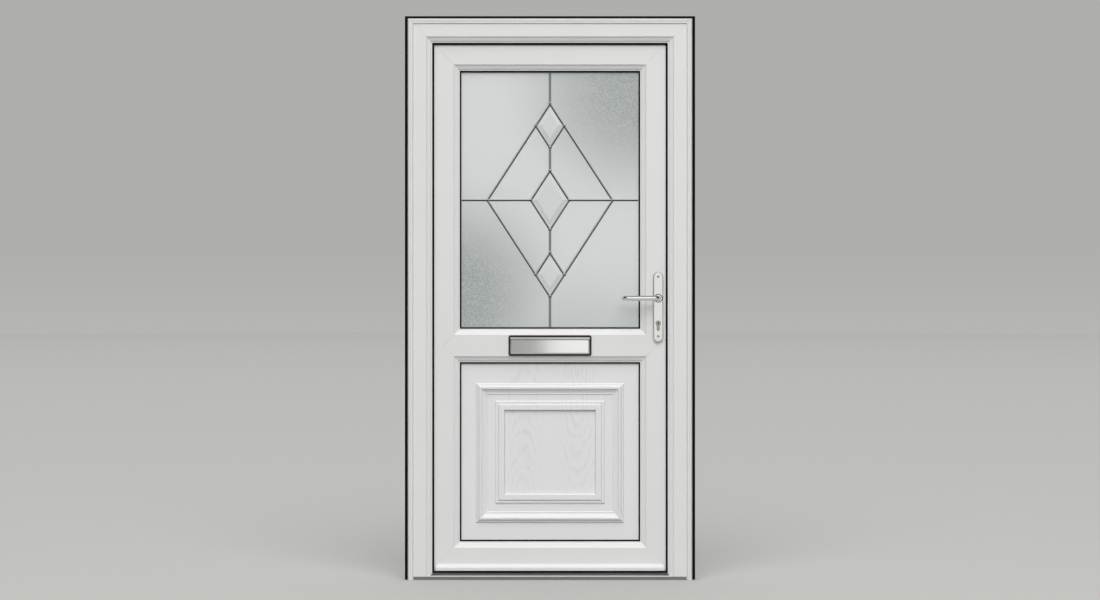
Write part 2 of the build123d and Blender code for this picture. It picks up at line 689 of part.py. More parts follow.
# Letter plate: plates on both sides, a sleeve between them and a flap outside
leaf_middle = Plane(origin=(0, SASH_MIDDLE, 0), z_dir=(0, 1, 0))
letter_at = Pos(0, MID_RAIL_HEIGHT)
plate_face = SASH_FRONT - LETTER_THICK
slot = letter_at * Rectangle(SLOT_WIDTH, SLOT_HEIGHT)
plate_shape = letter_at * RectangleRounded(LETTER_WIDTH, LETTER_HEIGHT, LETTER_ROUND)
letter_plate = from_front(plate_shape, plate_face, SASH_FRONT)
letter_plate = chamfer(letter_plate.faces().sort_by(Axis.Y)[0].edges(), LETTER_CHAMFER)
letter_plate -= from_front(slot, plate_face, SASH_FRONT)
save("letter_plate_inner", mirror(letter_plate, leaf_middle))
sleeve_size = (SLOT_WIDTH + 2 * SLEEVE_WALL, SLOT_HEIGHT + 2 * SLEEVE_WALL)
sleeve = letter_at * Rectangle(*sleeve_size) - slot
letter_sleeve = from_front(sleeve, SASH_FRONT, SASH_BACK)
sleeve_cut = letter_at * Rectangle(sleeve_size[0] + 2 * SLEEVE_FIT, sleeve_size[1] + 2 * SLEEVE_FIT)
mid_rail -= from_front(sleeve_cut, SASH_FRONT - 1, SASH_BACK + 1)

flap_half = LETTER_WIDTH / 2 - LETTER_RIM
flap_top = MID_RAIL_HEIGHT + LETTER_HEIGHT / 2 - LETTER_RIM
flap_low = MID_RAIL_HEIGHT - LETTER_HEIGHT / 2 + LETTER_RIM
flap_back = plate_face - FLAP_FIT
flap_axis_y = flap_back - FLAP_BARREL
flap_axis_z = flap_top - FLAP_BARREL
raised_top = flap_axis_z - FLAP_BARREL - FLAP_GROOVE
raised_height = raised_top - flap_low
raised = []
for inset, round_off, y in ((0.0, FLAP_ROUND, FLAP_BACK), (FLAP_BEVEL, FLAP_ROUND - FLAP_BEVEL, FLAP_THICK)):
    plane = Plane(origin=(0, flap_back - y, 0), x_dir=(1, 0, 0), z_dir=(0, -1, 0))
    outline = RectangleRounded(2 * (flap_half - inset), raised_height - 2 * inset, round_off)
    raised.append(plane * Pos(0, (flap_low + raised_top) / 2) * outline)
letter_flap = loft(raised, ruled=True)
letter_flap += extrude(raised[0], amount=-FLAP_BACK)
letter_flap += block(
    (-flap_half, flap_half), (flap_back - FLAP_BACK, flap_back), (raised_top - FLAP_ROUND, flap_axis_z)
)


def along_x(radius, length, y, z, x=0.0):
    """A round bar lying along X."""
    return Pos(x, y, z) * Rot(0, 90, 0) * Cylinder(radius, length)


letter_flap += along_x(FLAP_BARREL, 2 * flap_half, flap_axis_y, flap_axis_z)
ear_in = flap_half + FLAP_FIT
pin_length = 2 * (ear_in + EAR_WIDTH / 2)
letter_flap += along_x(FLAP_PIN, pin_length, flap_axis_y, flap_axis_z)
for s in (1, -1):
    ear_x = s * (ear_in + EAR_WIDTH / 2)
    ear = along_x(FLAP_BARREL, EAR_WIDTH, flap_axis_y, flap_axis_z, ear_x)
    ear += Pos(ear_x, (flap_axis_y + plate_face) / 2, flap_axis_z) * Box(
        EAR_WIDTH, plate_face - flap_axis_y, 2 * FLAP_BARREL
    )
    letter_plate += ear
letter_plate -= along_x(FLAP_PIN + PIN_FIT, pin_length + 1.0, flap_axis_y, flap_axis_z)
save("letter_plate_outer", letter_plate)
save("letter_flap", letter_flap)
save("letter_sleeve", letter_sleeve)
save("sash_mid_rail", mid_rail)
save("sash_top_rail", top_rail)
save("sash_bottom_rail", bottom_rail)
save("sash_hinge_stile", stile)

# Handle plates, key cylinder and the holes they need in the lock stile
handle_x = SASH_HALF - HANDLE_FROM_EDGE
cylinder_z = HANDLE_HEIGHT - CYLINDER_DROP
handle_face = SASH_FRONT - PLATE_THICK


def along_y(radius, near, far, z):
    """A round bar through the door on the handle's line."""
    return from_front(Pos(handle_x, z) * Circle(radius), near, far)


def cylinder_outline(grow):
    """Outline of the key cylinder: a round head on a narrow leg."""
    leg = CYLINDER_LEG - CYLINDER_LEG_WIDTH / 2
    foot_radius = CYLINDER_LEG_WIDTH / 2 + grow
    outline = Circle(CYLINDER_RADIUS + grow)
    outline += Pos(0, -leg / 2) * Rectangle(2 * foot_radius, leg)
    outline += Pos(0, -leg) * Circle(foot_radius)
    return Pos(handle_x, cylinder_z) * outline


plate_length = PLATE_ABOVE + PLATE_BELOW
plate_z = HANDLE_HEIGHT + (PLATE_ABOVE - PLATE_BELOW) / 2
plate_outline = Pos(handle_x, plate_z) * SlotOverall(plate_length, PLATE_WIDTH, rotation=90)
handle_plate = from_front(plate_outline, handle_face, SASH_FRONT)
handle_plate = fillet(handle_plate.faces().sort_by(Axis.Y)[0].edges(), PLATE_ROUND)
cylinder_cut = from_front(cylinder_outline(CYLINDER_FIT), SASH_FRONT - FAR, SASH_BACK + FAR)
handle_plate -= cylinder_cut
handle_plate -= along_y(SHANK_RADIUS + PIN_FIT, handle_face, SASH_FRONT, HANDLE_HEIGHT)
inner_plate = mirror(handle_plate, leaf_middle)
inner_face = 2 * SASH_MIDDLE - handle_face
lock_cylinder = from_front(
    cylinder_outline(0.0), handle_face - CYLINDER_PROUD, inner_face + CYLINDER_PROUD
)
keyway = Pos(handle_x, cylinder_z) * Rectangle(KEYWAY_WIDTH, KEYWAY_HEIGHT)
lock_cylinder -= from_front(keyway, handle_face - CYLINDER_PROUD, handle_face + KEYWAY_DEPTH)
lock_cylinder -= from_front(keyway, inner_face - KEYWAY_DEPTH, inner_face + CYLINDER_PROUD)
lock_stile -= cylinder_cut
lock_stile -= along_y(SPINDLE_BORE, SASH_FRONT - 1, SASH_BACK + 1, HANDLE_HEIGHT)
save("handle_plate_outer", handle_plate)
save("handle_plate_inner", inner_plate)
save("lock_cylinder", lock_cylinder)
save("sash_lock_stile", lock_stile)

# Levers with their hubs and shanks, and the square spindle that joins them
hub_back = handle_face - HUB_GAP
hub_front = hub_back - HUB_LENGTH
lever_y = handle_face - LEVER_REACH
bend_y = lever_y + LEVER_BEND
tip_x = handle_x - LEVER_LENGTH
tip_bend_x = tip_x + LEVER_BEND
bend_x = handle_x - LEVER_BEND


def oval(x, y, along):
    """The lever's oval section at a point of its line."""
    plane = Plane(origin=(x, y, HANDLE_HEIGHT), x_dir=Vector(*along).cross(Vector(0, 0, 1)), z_dir=along)
    return plane * Ellipse(LEVER_THICK / 2, LEVER_TALL / 2)


tip = extrude(oval(tip_x, bend_y, (0, 1, 0)), amount=LEVER_RETURN - LEVER_BEND)
lever = fillet(tip.faces().sort_by(Axis.Y)[-1].edges(), LEVER_TIP_ROUND)
lever += revolve(oval(tip_bend_x, lever_y, (-1, 0, 0)), Axis((tip_bend_x, bend_y, 0), (0, 0, -1)), 90)
lever += extrude(oval(bend_x, lever_y, (-1, 0, 0)), amount=bend_x - tip_bend_x)
lever += revolve(oval(handle_x, bend_y, (0, -1, 0)), Axis((bend_x, bend_y, 0), (0, 0, -1)), 90)
lever += extrude(oval(handle_x, hub_back, (0, -1, 0)), amount=hub_back - bend_y)
hub = along_y(HUB_RADIUS, hub_front, hub_back, HANDLE_HEIGHT)
lever += fillet(hub.edges().group_by(Axis.Y)[0], HUB_ROUND)
lever += along_y(SHANK_RADIUS, hub_back - 1, SASH_FRONT, HANDLE_HEIGHT)
socket = Pos(handle_x, HANDLE_HEIGHT) * Rectangle(SPINDLE + 2 * SPINDLE_FIT, SPINDLE + 2 * SPINDLE_FIT)
lever -= from_front(socket, SASH_FRONT - SPINDLE_SOCKET, SASH_FRONT)
spindle = from_front(
    Pos(handle_x, HANDLE_HEIGHT) * Rectangle(SPINDLE, SPINDLE),
    SASH_FRONT - SPINDLE_SOCKET,
    SASH_BACK + SPINDLE_SOCKET,
)
save("lever_outer", lever)
save("lever_inner", mirror(lever, leaf_middle))
save("spindle", spindle)

# Lock faceplate in the edge of the sash and keeps on the frame
faceplate_low = SASH_EDGE[2] + FACEPLATE_END
faceplate_high = SASH_EDGE[3] - FACEPLATE_END
faceplate = block((SASH_HALF - GROOVE_DEPTH, SASH_HALF), groove, (faceplate_low, faceplate_high))
save("lock_faceplate", faceplate)
keeps = []
for height in (faceplate_low + KEEP_END, HANDLE_HEIGHT, faceplate_high - KEEP_END):
    keep = block(
        (rebate_half - KEEP_THICK, rebate_half),
        groove,
        (height - KEEP_LENGTH / 2, height + KEEP_LENGTH / 2),
    )
    keeps.append(keep)
save("lock_keeps", Compound(keeps))

# Weather bar with a sloping top and splayed ends
bar_low = SASH_BOTTOM + WEATHER_BAR_RISE
bar_front = SASH_FRONT - WEATHER_BAR_REACH
bar_section = polygon(
    (0, SASH_FRONT),
    (0, bar_front + 2 * WEATHER_BAR_EASE),
    (WEATHER_BAR_EASE, bar_front),
    (WEATHER_BAR_NOSE, bar_front),
    (WEATHER_BAR_NOSE + WEATHER_BAR_EASE, bar_front + WEATHER_BAR_EASE),
    (WEATHER_BAR_HEIGHT, SASH_FRONT - WEATHER_BAR_EASE),
    (WEATHER_BAR_HEIGHT, SASH_FRONT),
)
bar_half = HALF_OPENING - GASKET_LIP - WEATHER_BAR_FIT
front_half = bar_half - WEATHER_BAR_SPLAY
bar_plan = polygon(
    (-bar_half, SASH_FRONT), (-front_half, bar_front), (front_half, bar_front), (bar_half, SASH_FRONT)
)
bar_high = bar_low + WEATHER_BAR_HEIGHT
corner = WEATHER_BAR_CORNER
weather_bar = trimmed(
    run(bar_section, (0, 0, bar_low), (0, 0, 1)) & extrude(bar_plan, amount=FAR),
    (-bar_half, bar_low),
    (bar_half, bar_low),
    (bar_half, bar_high - 1.4 * corner),
    (bar_half - corner, bar_high),
    (corner - bar_half, bar_high),
    (-bar_half, bar_high - 1.4 * corner),
)
save("weather_bar", weather_bar)

# Hinges: frame halves carry the pins, sash halves turn on them
lap_edge = -SASH_HALF - REBATE
axis_x = lap_edge - HINGE_CLEAR - HINGE_BARREL
axis_y = SASH_BACK + HINGE_PLATE / 2
third = HINGE_LENGTH / 3


def upright(radius, low, high):
    """A round bar on the hinge line."""
    return Pos(axis_x, axis_y, (low + high) / 2) * Cylinder(radius, high - low)


low_hinge = SASH_EDGE[2] + HINGE_END
high_hinge = SASH_EDGE[3] - HINGE_END
frame_halves = []
sash_halves = []
for height in (low_hinge, (low_hinge + high_hinge) / 2, high_hinge):
    low = height - HINGE_LENGTH / 2
    high_end = height + HINGE_LENGTH / 2
    plate_depth = (FRAME_BACK, FRAME_BACK + HINGE_PLATE)
    half = block((-xo + HINGE_INSET, axis_x + HINGE_BARREL), plate_depth, (low, high_end))
    for z0, z1 in ((low, low + third), (high_end - third, high_end)):
        half += block((axis_x - HINGE_BARREL, axis_x + HINGE_BARREL), (FRAME_BACK, axis_y), (z0, z1))
        half += upright(HINGE_BARREL, z0, z1)
    half += upright(HINGE_PIN, low, high_end)
    frame_halves.append(half)
    z0 = low + third + KNUCKLE_GAP
    z1 = high_end - third - KNUCKLE_GAP
    flag_depth = (SASH_BACK, SASH_BACK + HINGE_PLATE)
    flag = block((lap_edge + HINGE_INSET, lap_edge + HINGE_FLAG), flag_depth, (low, high_end))
    flag += block((axis_x, lap_edge + 2 * HINGE_INSET), flag_depth, (z0, z1))
    flag += upright(HINGE_BARREL, z0, z1)
    flag -= upright(HINGE_PIN + PIN_FIT, low, high_end)
    sash_halves.append(flag)
save("hinge_frame_leaves", Compound(frame_halves))
save("hinge_sash_leaves", Compound(sash_halves))
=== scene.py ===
# %% [markdown]
# # A white uPVC front door
# The door stands closed in its frame, as a show-room picture has it: square on, in soft light, on a
# pale floor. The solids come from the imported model, so every size is already settled. What is left
# for Blender is what the eye judges: plastic, glass, lead, rubber and metal, and the small fittings.

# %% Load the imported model
import math

import bmesh
import bpy
from mathutils import Matrix, Vector


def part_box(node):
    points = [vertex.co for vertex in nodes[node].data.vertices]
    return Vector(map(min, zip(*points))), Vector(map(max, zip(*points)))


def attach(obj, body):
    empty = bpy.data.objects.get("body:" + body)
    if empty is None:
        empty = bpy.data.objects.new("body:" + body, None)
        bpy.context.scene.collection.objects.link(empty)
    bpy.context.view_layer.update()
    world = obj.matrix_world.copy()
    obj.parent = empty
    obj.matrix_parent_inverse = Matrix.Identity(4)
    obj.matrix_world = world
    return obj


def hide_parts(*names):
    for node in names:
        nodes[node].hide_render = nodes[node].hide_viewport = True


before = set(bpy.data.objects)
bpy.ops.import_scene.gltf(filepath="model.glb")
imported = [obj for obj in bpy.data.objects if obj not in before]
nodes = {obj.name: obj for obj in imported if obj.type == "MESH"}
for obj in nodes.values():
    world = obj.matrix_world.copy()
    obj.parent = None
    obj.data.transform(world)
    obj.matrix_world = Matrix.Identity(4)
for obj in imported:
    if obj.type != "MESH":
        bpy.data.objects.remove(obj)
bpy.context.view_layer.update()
scene = bpy.context.scene
scene.view_settings.view_transform = "Standard"
MM = 0.001

# %% [markdown]
# ## Helpers for materials
# Colours are written as the hex values that a paint chart or an image editor shows. Blender wants
# linear light, so one function converts them. Another adds a node, sets its options and links its
# inputs, which keeps each material readable from top to bottom. Patterns are placed by Object
# coordinates, which are metres in the door's own frame, so a scale of 1 / size draws a real size.

# %% Colour and node helpers
def linear(hex_code):
    """An sRGB hex colour as linear red, green, blue and alpha."""
    parts = [int(hex_code[i:i + 2], 16) / 255 for i in (1, 3, 5)]
    return tuple(c / 12.92 if c <= 0.04045 else ((c + 0.055) / 1.055) ** 2.4 for c in parts) + (1.0,)


def wire(tree, node, inputs):
    """Set a node's inputs, each to a value or to another node's output."""
    for name, value in inputs.items():
        if isinstance(value, bpy.types.NodeSocket):
            tree.links.new(value, node.inputs[name])
        else:
            node.inputs[name].default_value = value


def add(tree, kind, inputs=None, **settings):
    """Add a shader node with its settings and inputs."""
    made = tree.nodes.new("ShaderNode" + kind)
    for name, value in settings.items():
        setattr(made, name, value)
    wire(tree, made, inputs or {})
    return made


def material(name):
    """A new material, with its node tree, its shader and the Object coordinates."""
    made = bpy.data.materials.new(name)
    made.use_nodes = True
    tree = made.node_tree
    return made, tree, tree.nodes["Principled BSDF"], add(tree, "TexCoord").outputs["Object"]


def finish_nodes(finish, *names):
    """Give CAD nodes a finish."""
    for name in names:
        nodes[name].material_slots[0].material = finish
    print(finish.name, "on", len(names), "nodes")


print("mid grey, #808080, is", round(linear("#808080")[0], 3), "in linear light")

# %% [markdown]
# ## White uPVC
# The bars are extruded uPVC: a hard, bright white plastic with a satin gloss from the die. Close up it
# has a very slight orange peel, and its edges are eased by less than a millimetre. Every edge could be
# rounded in the mesh, but the Bevel node rounds the shading alone, adds no faces and still catches the
# thin highlights that a sharp edge would miss.

# %% White uPVC
ORANGE_PEEL = 4 * MM
GLOSS_DRIFT = 150 * MM
EXTRUDED_EDGE = 0.7 * MM
UPVC_IOR = 1.53
upvc, tree, shader, place = material("white_upvc_extrusion")
peel = add(tree, "TexNoise", {"Vector": place, "Scale": 1 / ORANGE_PEEL, "Detail": 2.0})
drift = add(tree, "TexNoise", {"Vector": place, "Scale": 1 / GLOSS_DRIFT, "Detail": 3.0})
tone = add(tree, "MixRGB", {"Fac": drift.outputs["Fac"], "Color1": linear("#DFDFDE"),
                            "Color2": linear("#E3E3E2")})
gloss = add(tree, "MapRange", {"Value": drift.outputs["Fac"], "To Min": 0.26, "To Max": 0.38})
edge = add(tree, "Bevel", {"Radius": EXTRUDED_EDGE}, samples=4)
bump = add(tree, "Bump", {"Height": peel.outputs["Fac"], "Strength": 0.05, "Distance": 0.05 * MM,
                          "Normal": edge.outputs["Normal"]})
wire(tree, shader, {"Base Color": tone.outputs["Color"], "Roughness": gloss.outputs["Result"],
                    "Normal": bump.outputs["Normal"], "IOR": UPVC_IOR})
finish_nodes(
    upvc, "frame_head", "frame_hinge_jamb", "frame_lock_jamb", "frame_sill", "trim_head",
    "trim_hinge_side", "trim_lock_side", "sash_hinge_stile", "sash_lock_stile", "sash_top_rail",
    "sash_mid_rail", "sash_bottom_rail", "glass_beads", "panel_beads", "weather_bar")

# %% [markdown]
# ## The panel's wood grain
# The lower panel is pressed from a thin white sheet whose mould was etched with a wood grain. Nothing is
# printed: only shallow pores along the growth rings catch the light. A painted texture could show arches,
# but they come by themselves when a board is sawn at a slant through a trunk, so the rings here are real
# cylinders round an axis that leans away behind the panel.

# %% Growth rings and pores
panel_low, panel_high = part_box("panel_outer_skin")
panel = (panel_low + panel_high) / 2
ARCH_OFF = 100 * MM  # from the panel's middle to the middle of each set of arches
TRUNK_BACK = 60 * MM  # how far off the panel the trunk's heart passes
TRUNK_LEAN = math.radians(13)
RING_SPACING = 13 * MM
WAVE_UNIT = math.tau / 20  # how far apart a wave's rings lie at a scale of 1
PORE_WIDTH = 4 * MM  # drawn coarser than the mould's so that pores show
PORE_SHARE = 0.08  # a pore's width as a share of its length
skin, tree, shader, place = material("white_embossed_panel_skin")
centred = add(tree, "Mapping", {"Vector": place, "Location": (-panel.x, 0.0, -panel.z)})
spot = add(tree, "SeparateXYZ", {"Vector": centred.outputs["Vector"]})
# Two boards side by side, one turned end for end: arches point up on the left and down on the right
leafed = add(tree, "Math", {0: spot.outputs["X"]}, operation="ABSOLUTE")
half = add(tree, "Math", {0: spot.outputs["X"]}, operation="SIGN")
along = add(tree, "Math", {0: spot.outputs["Z"], 1: half.outputs[0]}, operation="MULTIPLY")
board = add(tree, "CombineXYZ", {"X": leafed.outputs[0], "Y": spot.outputs["Y"], "Z": along.outputs[0]})
trunk = add(tree, "Mapping", {"Vector": board.outputs["Vector"], "Rotation": (TRUNK_LEAN, 0.0, 0.0),
                              "Location": (-ARCH_OFF, TRUNK_BACK, 0.0)})
rings = add(tree, "TexWave", {"Vector": trunk.outputs["Vector"], "Scale": WAVE_UNIT / RING_SPACING,
                              "Distortion": 5.0, "Detail": 2.0, "Detail Scale": 0.6},
            wave_type="RINGS", rings_direction="Z")
late_wood = add(tree, "MapRange", {"Value": rings.outputs["Fac"], "From Min": 0.35, "From Max": 1.0})
long_way = add(tree, "Mapping", {"Vector": place, "Scale": (1.0, 1.0, PORE_SHARE)})
pores = add(tree, "TexNoise", {"Vector": long_way.outputs["Vector"], "Scale": 1 / PORE_WIDTH, "Detail": 2.0})
pore_cut = add(tree, "MapRange", {"Value": pores.outputs["Fac"], "From Min": 0.40, "From Max": 0.60})
grain = add(tree, "Math", {0: late_wood.outputs["Result"], 1: pore_cut.outputs["Result"]},
            operation="MULTIPLY")
print("wood grain round", tuple(round(c, 3) for c in panel))

# %% Embossed panel skin
ETCH_FULL = 30 * MM  # the etching is deepest this near the middle of the arches
ETCH_GONE = 90 * MM  # and nearly gone this far away
FOOT_FULL = -60 * MM  # it also runs out from this height, measured from the panel's middle
FOOT_GONE = -200 * MM  # to this one
PRESSED_EDGE = 0.5 * MM
aside = add(tree, "Math", {0: leafed.outputs[0], 1: ARCH_OFF}, operation="SUBTRACT")
beside = add(tree, "Math", {0: aside.outputs[0]}, operation="ABSOLUTE")
etched = add(tree, "MapRange", {"Value": beside.outputs[0], "From Min": ETCH_GONE, "From Max": ETCH_FULL,
                                "To Min": 0.12})
upper = add(tree, "MapRange", {"Value": spot.outputs["Z"], "From Min": FOOT_GONE, "From Max": FOOT_FULL,
                               "To Min": 0.1})
etching = add(tree, "Math", {0: etched.outputs["Result"], 1: upper.outputs["Result"]}, operation="MULTIPLY")
depth = add(tree, "Math", {0: grain.outputs[0], 1: etching.outputs[0]}, operation="MULTIPLY")
tone = add(tree, "MixRGB", {"Fac": depth.outputs[0], "Color1": linear("#E3E3E3"),
                            "Color2": linear("#DADADA")})
edge = add(tree, "Bevel", {"Radius": PRESSED_EDGE}, samples=4)
bump = add(tree, "Bump", {"Height": depth.outputs[0], "Strength": 0.2, "Distance": 0.2 * MM,
                          "Normal": edge.outputs["Normal"]}, invert=True)
wire(tree, shader, {"Base Color": tone.outputs["Color"], "Roughness": 0.36,
                    "Normal": bump.outputs["Normal"], "IOR": UPVC_IOR})
finish_nodes(skin, "panel_outer_skin", "panel_inner_skin")

# %% [markdown]
# ## Black rubber and black plastic
# The seals are EPDM rubber: almost black, matt, with a dusty bloom. The letter plate's frame and sleeve
# are moulded ABS, black too but smoother, so it keeps a soft shine on its rim. Its mould was roughened
# by sparks, which leaves a fine even grain. A single flat black would do for neither, so a noise mixes two
# close blacks, and the two are told apart mostly by their sheen.

# %% Rubber seals
BLOOM = 25 * MM
rubber, tree, shader, place = material("black_epdm_rubber")
bloom = add(tree, "TexNoise", {"Vector": place, "Scale": 1 / BLOOM, "Detail": 4.0})
tone = add(tree, "MixRGB", {"Fac": bloom.outputs["Fac"], "Color1": linear("#040404"),
                            "Color2": linear("#0D0D0D")})
wire(tree, shader, {"Base Color": tone.outputs["Color"], "Roughness": 0.7, "Specular IOR Level": 0.15})
finish_nodes(rubber, "perimeter_seal", "frame_gasket", "sash_gasket", "glass_gaskets", "panel_gaskets")

# %% Black ABS
SPARK_GRAIN = 0.8 * MM
ABS_IOR = 1.53
black_abs, tree, shader, place = material("black_moulded_abs")
spark = add(tree, "TexNoise", {"Vector": place, "Scale": 1 / SPARK_GRAIN, "Detail": 2.0})
tone = add(tree, "MixRGB", {"Fac": spark.outputs["Fac"], "Color1": linear("#0B0B0C"),
                            "Color2": linear("#161617")})
bump = add(tree, "Bump", {"Height": spark.outputs["Fac"], "Strength": 0.1, "Distance": 0.05 * MM})
wire(tree, shader, {"Base Color": tone.outputs["Color"], "Roughness": 0.4,
                    "Normal": bump.outputs["Normal"], "IOR": ABS_IOR})
finish_nodes(black_abs, "letter_plate_outer", "letter_plate_inner", "letter_sleeve")

# %% [markdown]
# ## Glass
# The light is a sealed unit of two panes. The outer one is patterned: its surface is stippled, so it
# passes light but no picture. Soft masks on the pane's own coordinates paint it greyer in some zones, as
# painted shade and reflection, and make it a little clearer and glossier there. The inner pane is plain
# float glass with a faint green cast from iron, and the small diamonds are polished and bevelled. The
# dimples could be modelled, but there are thousands, and a bump shades them as well.

# %% Zones of the patterned pane
light_low, light_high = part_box("glass_outer_pane")
light = (light_low + light_high) / 2
GLASS_IOR = 1.52
STIPPLE = 6 * MM  # width of a dimple, a little coarser than a real one so that it shows
# Zones painted greyer as shade, where the glass is also clearer: middle across and up, reach across and up in
# metres, and strength
SHADED_CLEARER_ZONES = ((0.33, 0.40, 0.55, 0.48, 1.0), (-0.35, -0.36, 0.47, 0.50, 1.05),
              (0.05, -0.62, 0.80, 0.46, 0.45))
patterned, tree, shader, place = material("stippled_obscure_glass")
centred = add(tree, "Mapping", {"Vector": place, "Location": (-light.x, 0.0, -light.z)})
shades = []
for x, z, wide, tall, strength in SHADED_CLEARER_ZONES:
    shifted = add(tree, "Mapping", {"Vector": centred.outputs["Vector"],
                                    "Location": (-x / wide, 0.0, -z / tall),
                                    "Scale": (1 / wide, 0.0, 1 / tall)})
    reach = add(tree, "VectorMath", {0: shifted.outputs["Vector"]}, operation="LENGTH")
    shade = add(tree, "MapRange", {"Value": reach.outputs["Value"], "From Min": 1.0, "From Max": 0.1,
                                   "To Max": strength}, interpolation_type="SMOOTHSTEP")
    shades.append(shade.outputs["Result"])
corners = add(tree, "Math", {0: shades[0], 1: shades[1]}, operation="MAXIMUM")
shaded_and_clearer = add(tree, "Math", {0: corners.outputs[0], 1: shades[2]}, operation="MAXIMUM")
print(len(shades), "open zones round", tuple(round(c, 3) for c in light))

# %% Patterned glass
stipple = add(tree, "TexNoise", {"Vector": place, "Scale": 1 / STIPPLE, "Detail": 2.0})
dimple = add(tree, "MapRange", {"Value": stipple.outputs["Fac"], "From Min": 0.3, "From Max": 0.7})
# The dimples show singly only in the darkest corner of each zone
corner = add(tree, "MapRange", {"Value": shaded_and_clearer.outputs[0], "From Min": 0.4, "From Max": 0.95})
speck = add(tree, "Math", {0: dimple.outputs["Result"], 1: corner.outputs["Result"]}, operation="MULTIPLY")
shaded = add(tree, "MixRGB", {"Fac": dimple.outputs["Result"], "Color1": linear("#B2B8B8"),
                              "Color2": linear("#D9DEDE")})
grey = add(tree, "MixRGB", {"Fac": corner.outputs["Result"], "Color1": linear("#C5CACA"),
                            "Color2": shaded.outputs["Color"]})
# Painted shade: the zones are painted grey, and the same zones let more light through and are glossier
tone = add(tree, "MixRGB", {"Fac": shaded_and_clearer.outputs[0], "Color1": linear("#ECEFEE"),
                            "Color2": grey.outputs["Color"]})
through = add(tree, "MapRange", {"Value": shaded_and_clearer.outputs[0], "To Min": 0.26, "To Max": 0.45})
gloss = add(tree, "MapRange", {"Value": shaded_and_clearer.outputs[0], "To Min": 0.5, "To Max": 0.35})
bump = add(tree, "Bump", {"Height": speck.outputs[0], "Strength": 0.5, "Distance": 1.0 * MM})
wire(tree, shader, {"Base Color": tone.outputs["Color"], "Transmission Weight": through.outputs["Result"],
                    "Roughness": gloss.outputs["Result"], "Normal": bump.outputs["Normal"],
                    "IOR": GLASS_IOR})
finish_nodes(patterned, "glass_outer_pane")

# %% Plain and bevelled glass
DUST_FILM = 60 * MM  # a film of dust in patches keeps the plain pane from vanishing
POLISH_WAVE = 12 * MM  # faint waves from hand polishing
float_glass, tree, shader, place = material("clear_float_glass")
film = add(tree, "TexNoise", {"Vector": place, "Scale": 1 / DUST_FILM, "Detail": 4.0})
gloss = add(tree, "MapRange", {"Value": film.outputs["Fac"], "To Min": 0.01, "To Max": 0.05})
# Mostly clear to light as well as to the eye, so that the patterned pane behind it is lit from the room
wire(tree, shader, {"Base Color": linear("#F1F5F3"), "Alpha": 0.3, "Transmission Weight": 1.0,
                    "Roughness": gloss.outputs["Result"], "IOR": GLASS_IOR})
finish_nodes(float_glass, "glass_inner_pane")

bevelled, tree, shader, place = material("polished_bevelled_glass")
wave = add(tree, "TexNoise", {"Vector": place, "Scale": 1 / POLISH_WAVE, "Detail": 1.0})
bump = add(tree, "Bump", {"Height": wave.outputs["Fac"], "Strength": 0.1, "Distance": 0.3 * MM})
gloss = add(tree, "MapRange", {"Value": wave.outputs["Fac"], "To Min": 0.10, "To Max": 0.18})
wire(tree, shader, {"Base Color": linear("#F2F4F3"), "Transmission Weight": 0.26,
                    "Roughness": gloss.outputs["Result"], "Normal": bump.outputs["Normal"],
                    "IOR": GLASS_IOR})
finish_nodes(bevelled, "glass_bevels")

# %% [markdown]
# ## Metals
# Nearly all that polished metal shows is what it reflects. The backplates are chrome plated, and the levers
# are buffed stainless steel. The letter flap is aluminium polished to a satin, while the threshold and the
# spacer between the panes are brushed and anodised. The key cylinder is nickel over brass, and the lock's
# strip and keeps are zinc-plated steel. A mirror with no flaw at all looks unreal, so chrome keeps a few soft
# handling smears, and the others their buffing clouds, brush lines and crystals.

# %% Chrome plate and stainless steel
SMEAR = 30 * MM
BUFFING_CLOUD = 18 * MM
chrome, tree, shader, place = material("polished_chrome_plate")
smear = add(tree, "TexNoise", {"Vector": place, "Scale": 1 / SMEAR, "Detail": 4.0})
gloss = add(tree, "MapRange", {"Value": smear.outputs["Fac"], "To Min": 0.06, "To Max": 0.16})
wire(tree, shader, {"Base Color": linear("#D4D4D2"), "Metallic": 1.0, "Roughness": gloss.outputs["Result"]})
finish_nodes(chrome, "handle_plate_outer", "handle_plate_inner")

stainless, tree, shader, place = material("polished_stainless_lever")
buffed = add(tree, "TexNoise", {"Vector": place, "Scale": 1 / BUFFING_CLOUD, "Detail": 3.0})
tone = add(tree, "MixRGB", {"Fac": buffed.outputs["Fac"], "Color1": linear("#DCDDDC"),
                            "Color2": linear("#E5E6E5")})
gloss = add(tree, "MapRange", {"Value": buffed.outputs["Fac"], "To Min": 0.07, "To Max": 0.15})
wire(tree, shader, {"Base Color": tone.outputs["Color"], "Metallic": 1.0,
                    "Roughness": gloss.outputs["Result"]})
finish_nodes(stainless, "lever_outer", "lever_inner")

# %% Aluminium
BRUSH_LINE = 0.7 * MM
BRUSH_SHARE = 0.01  # a line's width as a share of its length
POLISH_LINE = 1.2 * MM  # drawn coarser than a real one so that it shows
POLISH_SHARE = 0.02
anodised, tree, shader, place = material("brushed_anodised_aluminium")
lengthwise = add(tree, "Mapping", {"Vector": place, "Scale": (BRUSH_SHARE, 1.0, 1.0)})
brush = add(tree, "TexNoise", {"Vector": lengthwise.outputs["Vector"], "Scale": 1 / BRUSH_LINE,
                               "Detail": 2.0})
tone = add(tree, "MixRGB", {"Fac": brush.outputs["Fac"], "Color1": linear("#8E9091"),
                            "Color2": linear("#A3A5A6")})
gloss = add(tree, "MapRange", {"Value": brush.outputs["Fac"], "To Min": 0.24, "To Max": 0.36})
bump = add(tree, "Bump", {"Height": brush.outputs["Fac"], "Strength": 0.06, "Distance": 0.05 * MM})
wire(tree, shader, {"Base Color": tone.outputs["Color"], "Metallic": 1.0,
                    "Roughness": gloss.outputs["Result"], "Normal": bump.outputs["Normal"]})
finish_nodes(anodised, "threshold_plate", "sill_ramp", "glass_spacer")

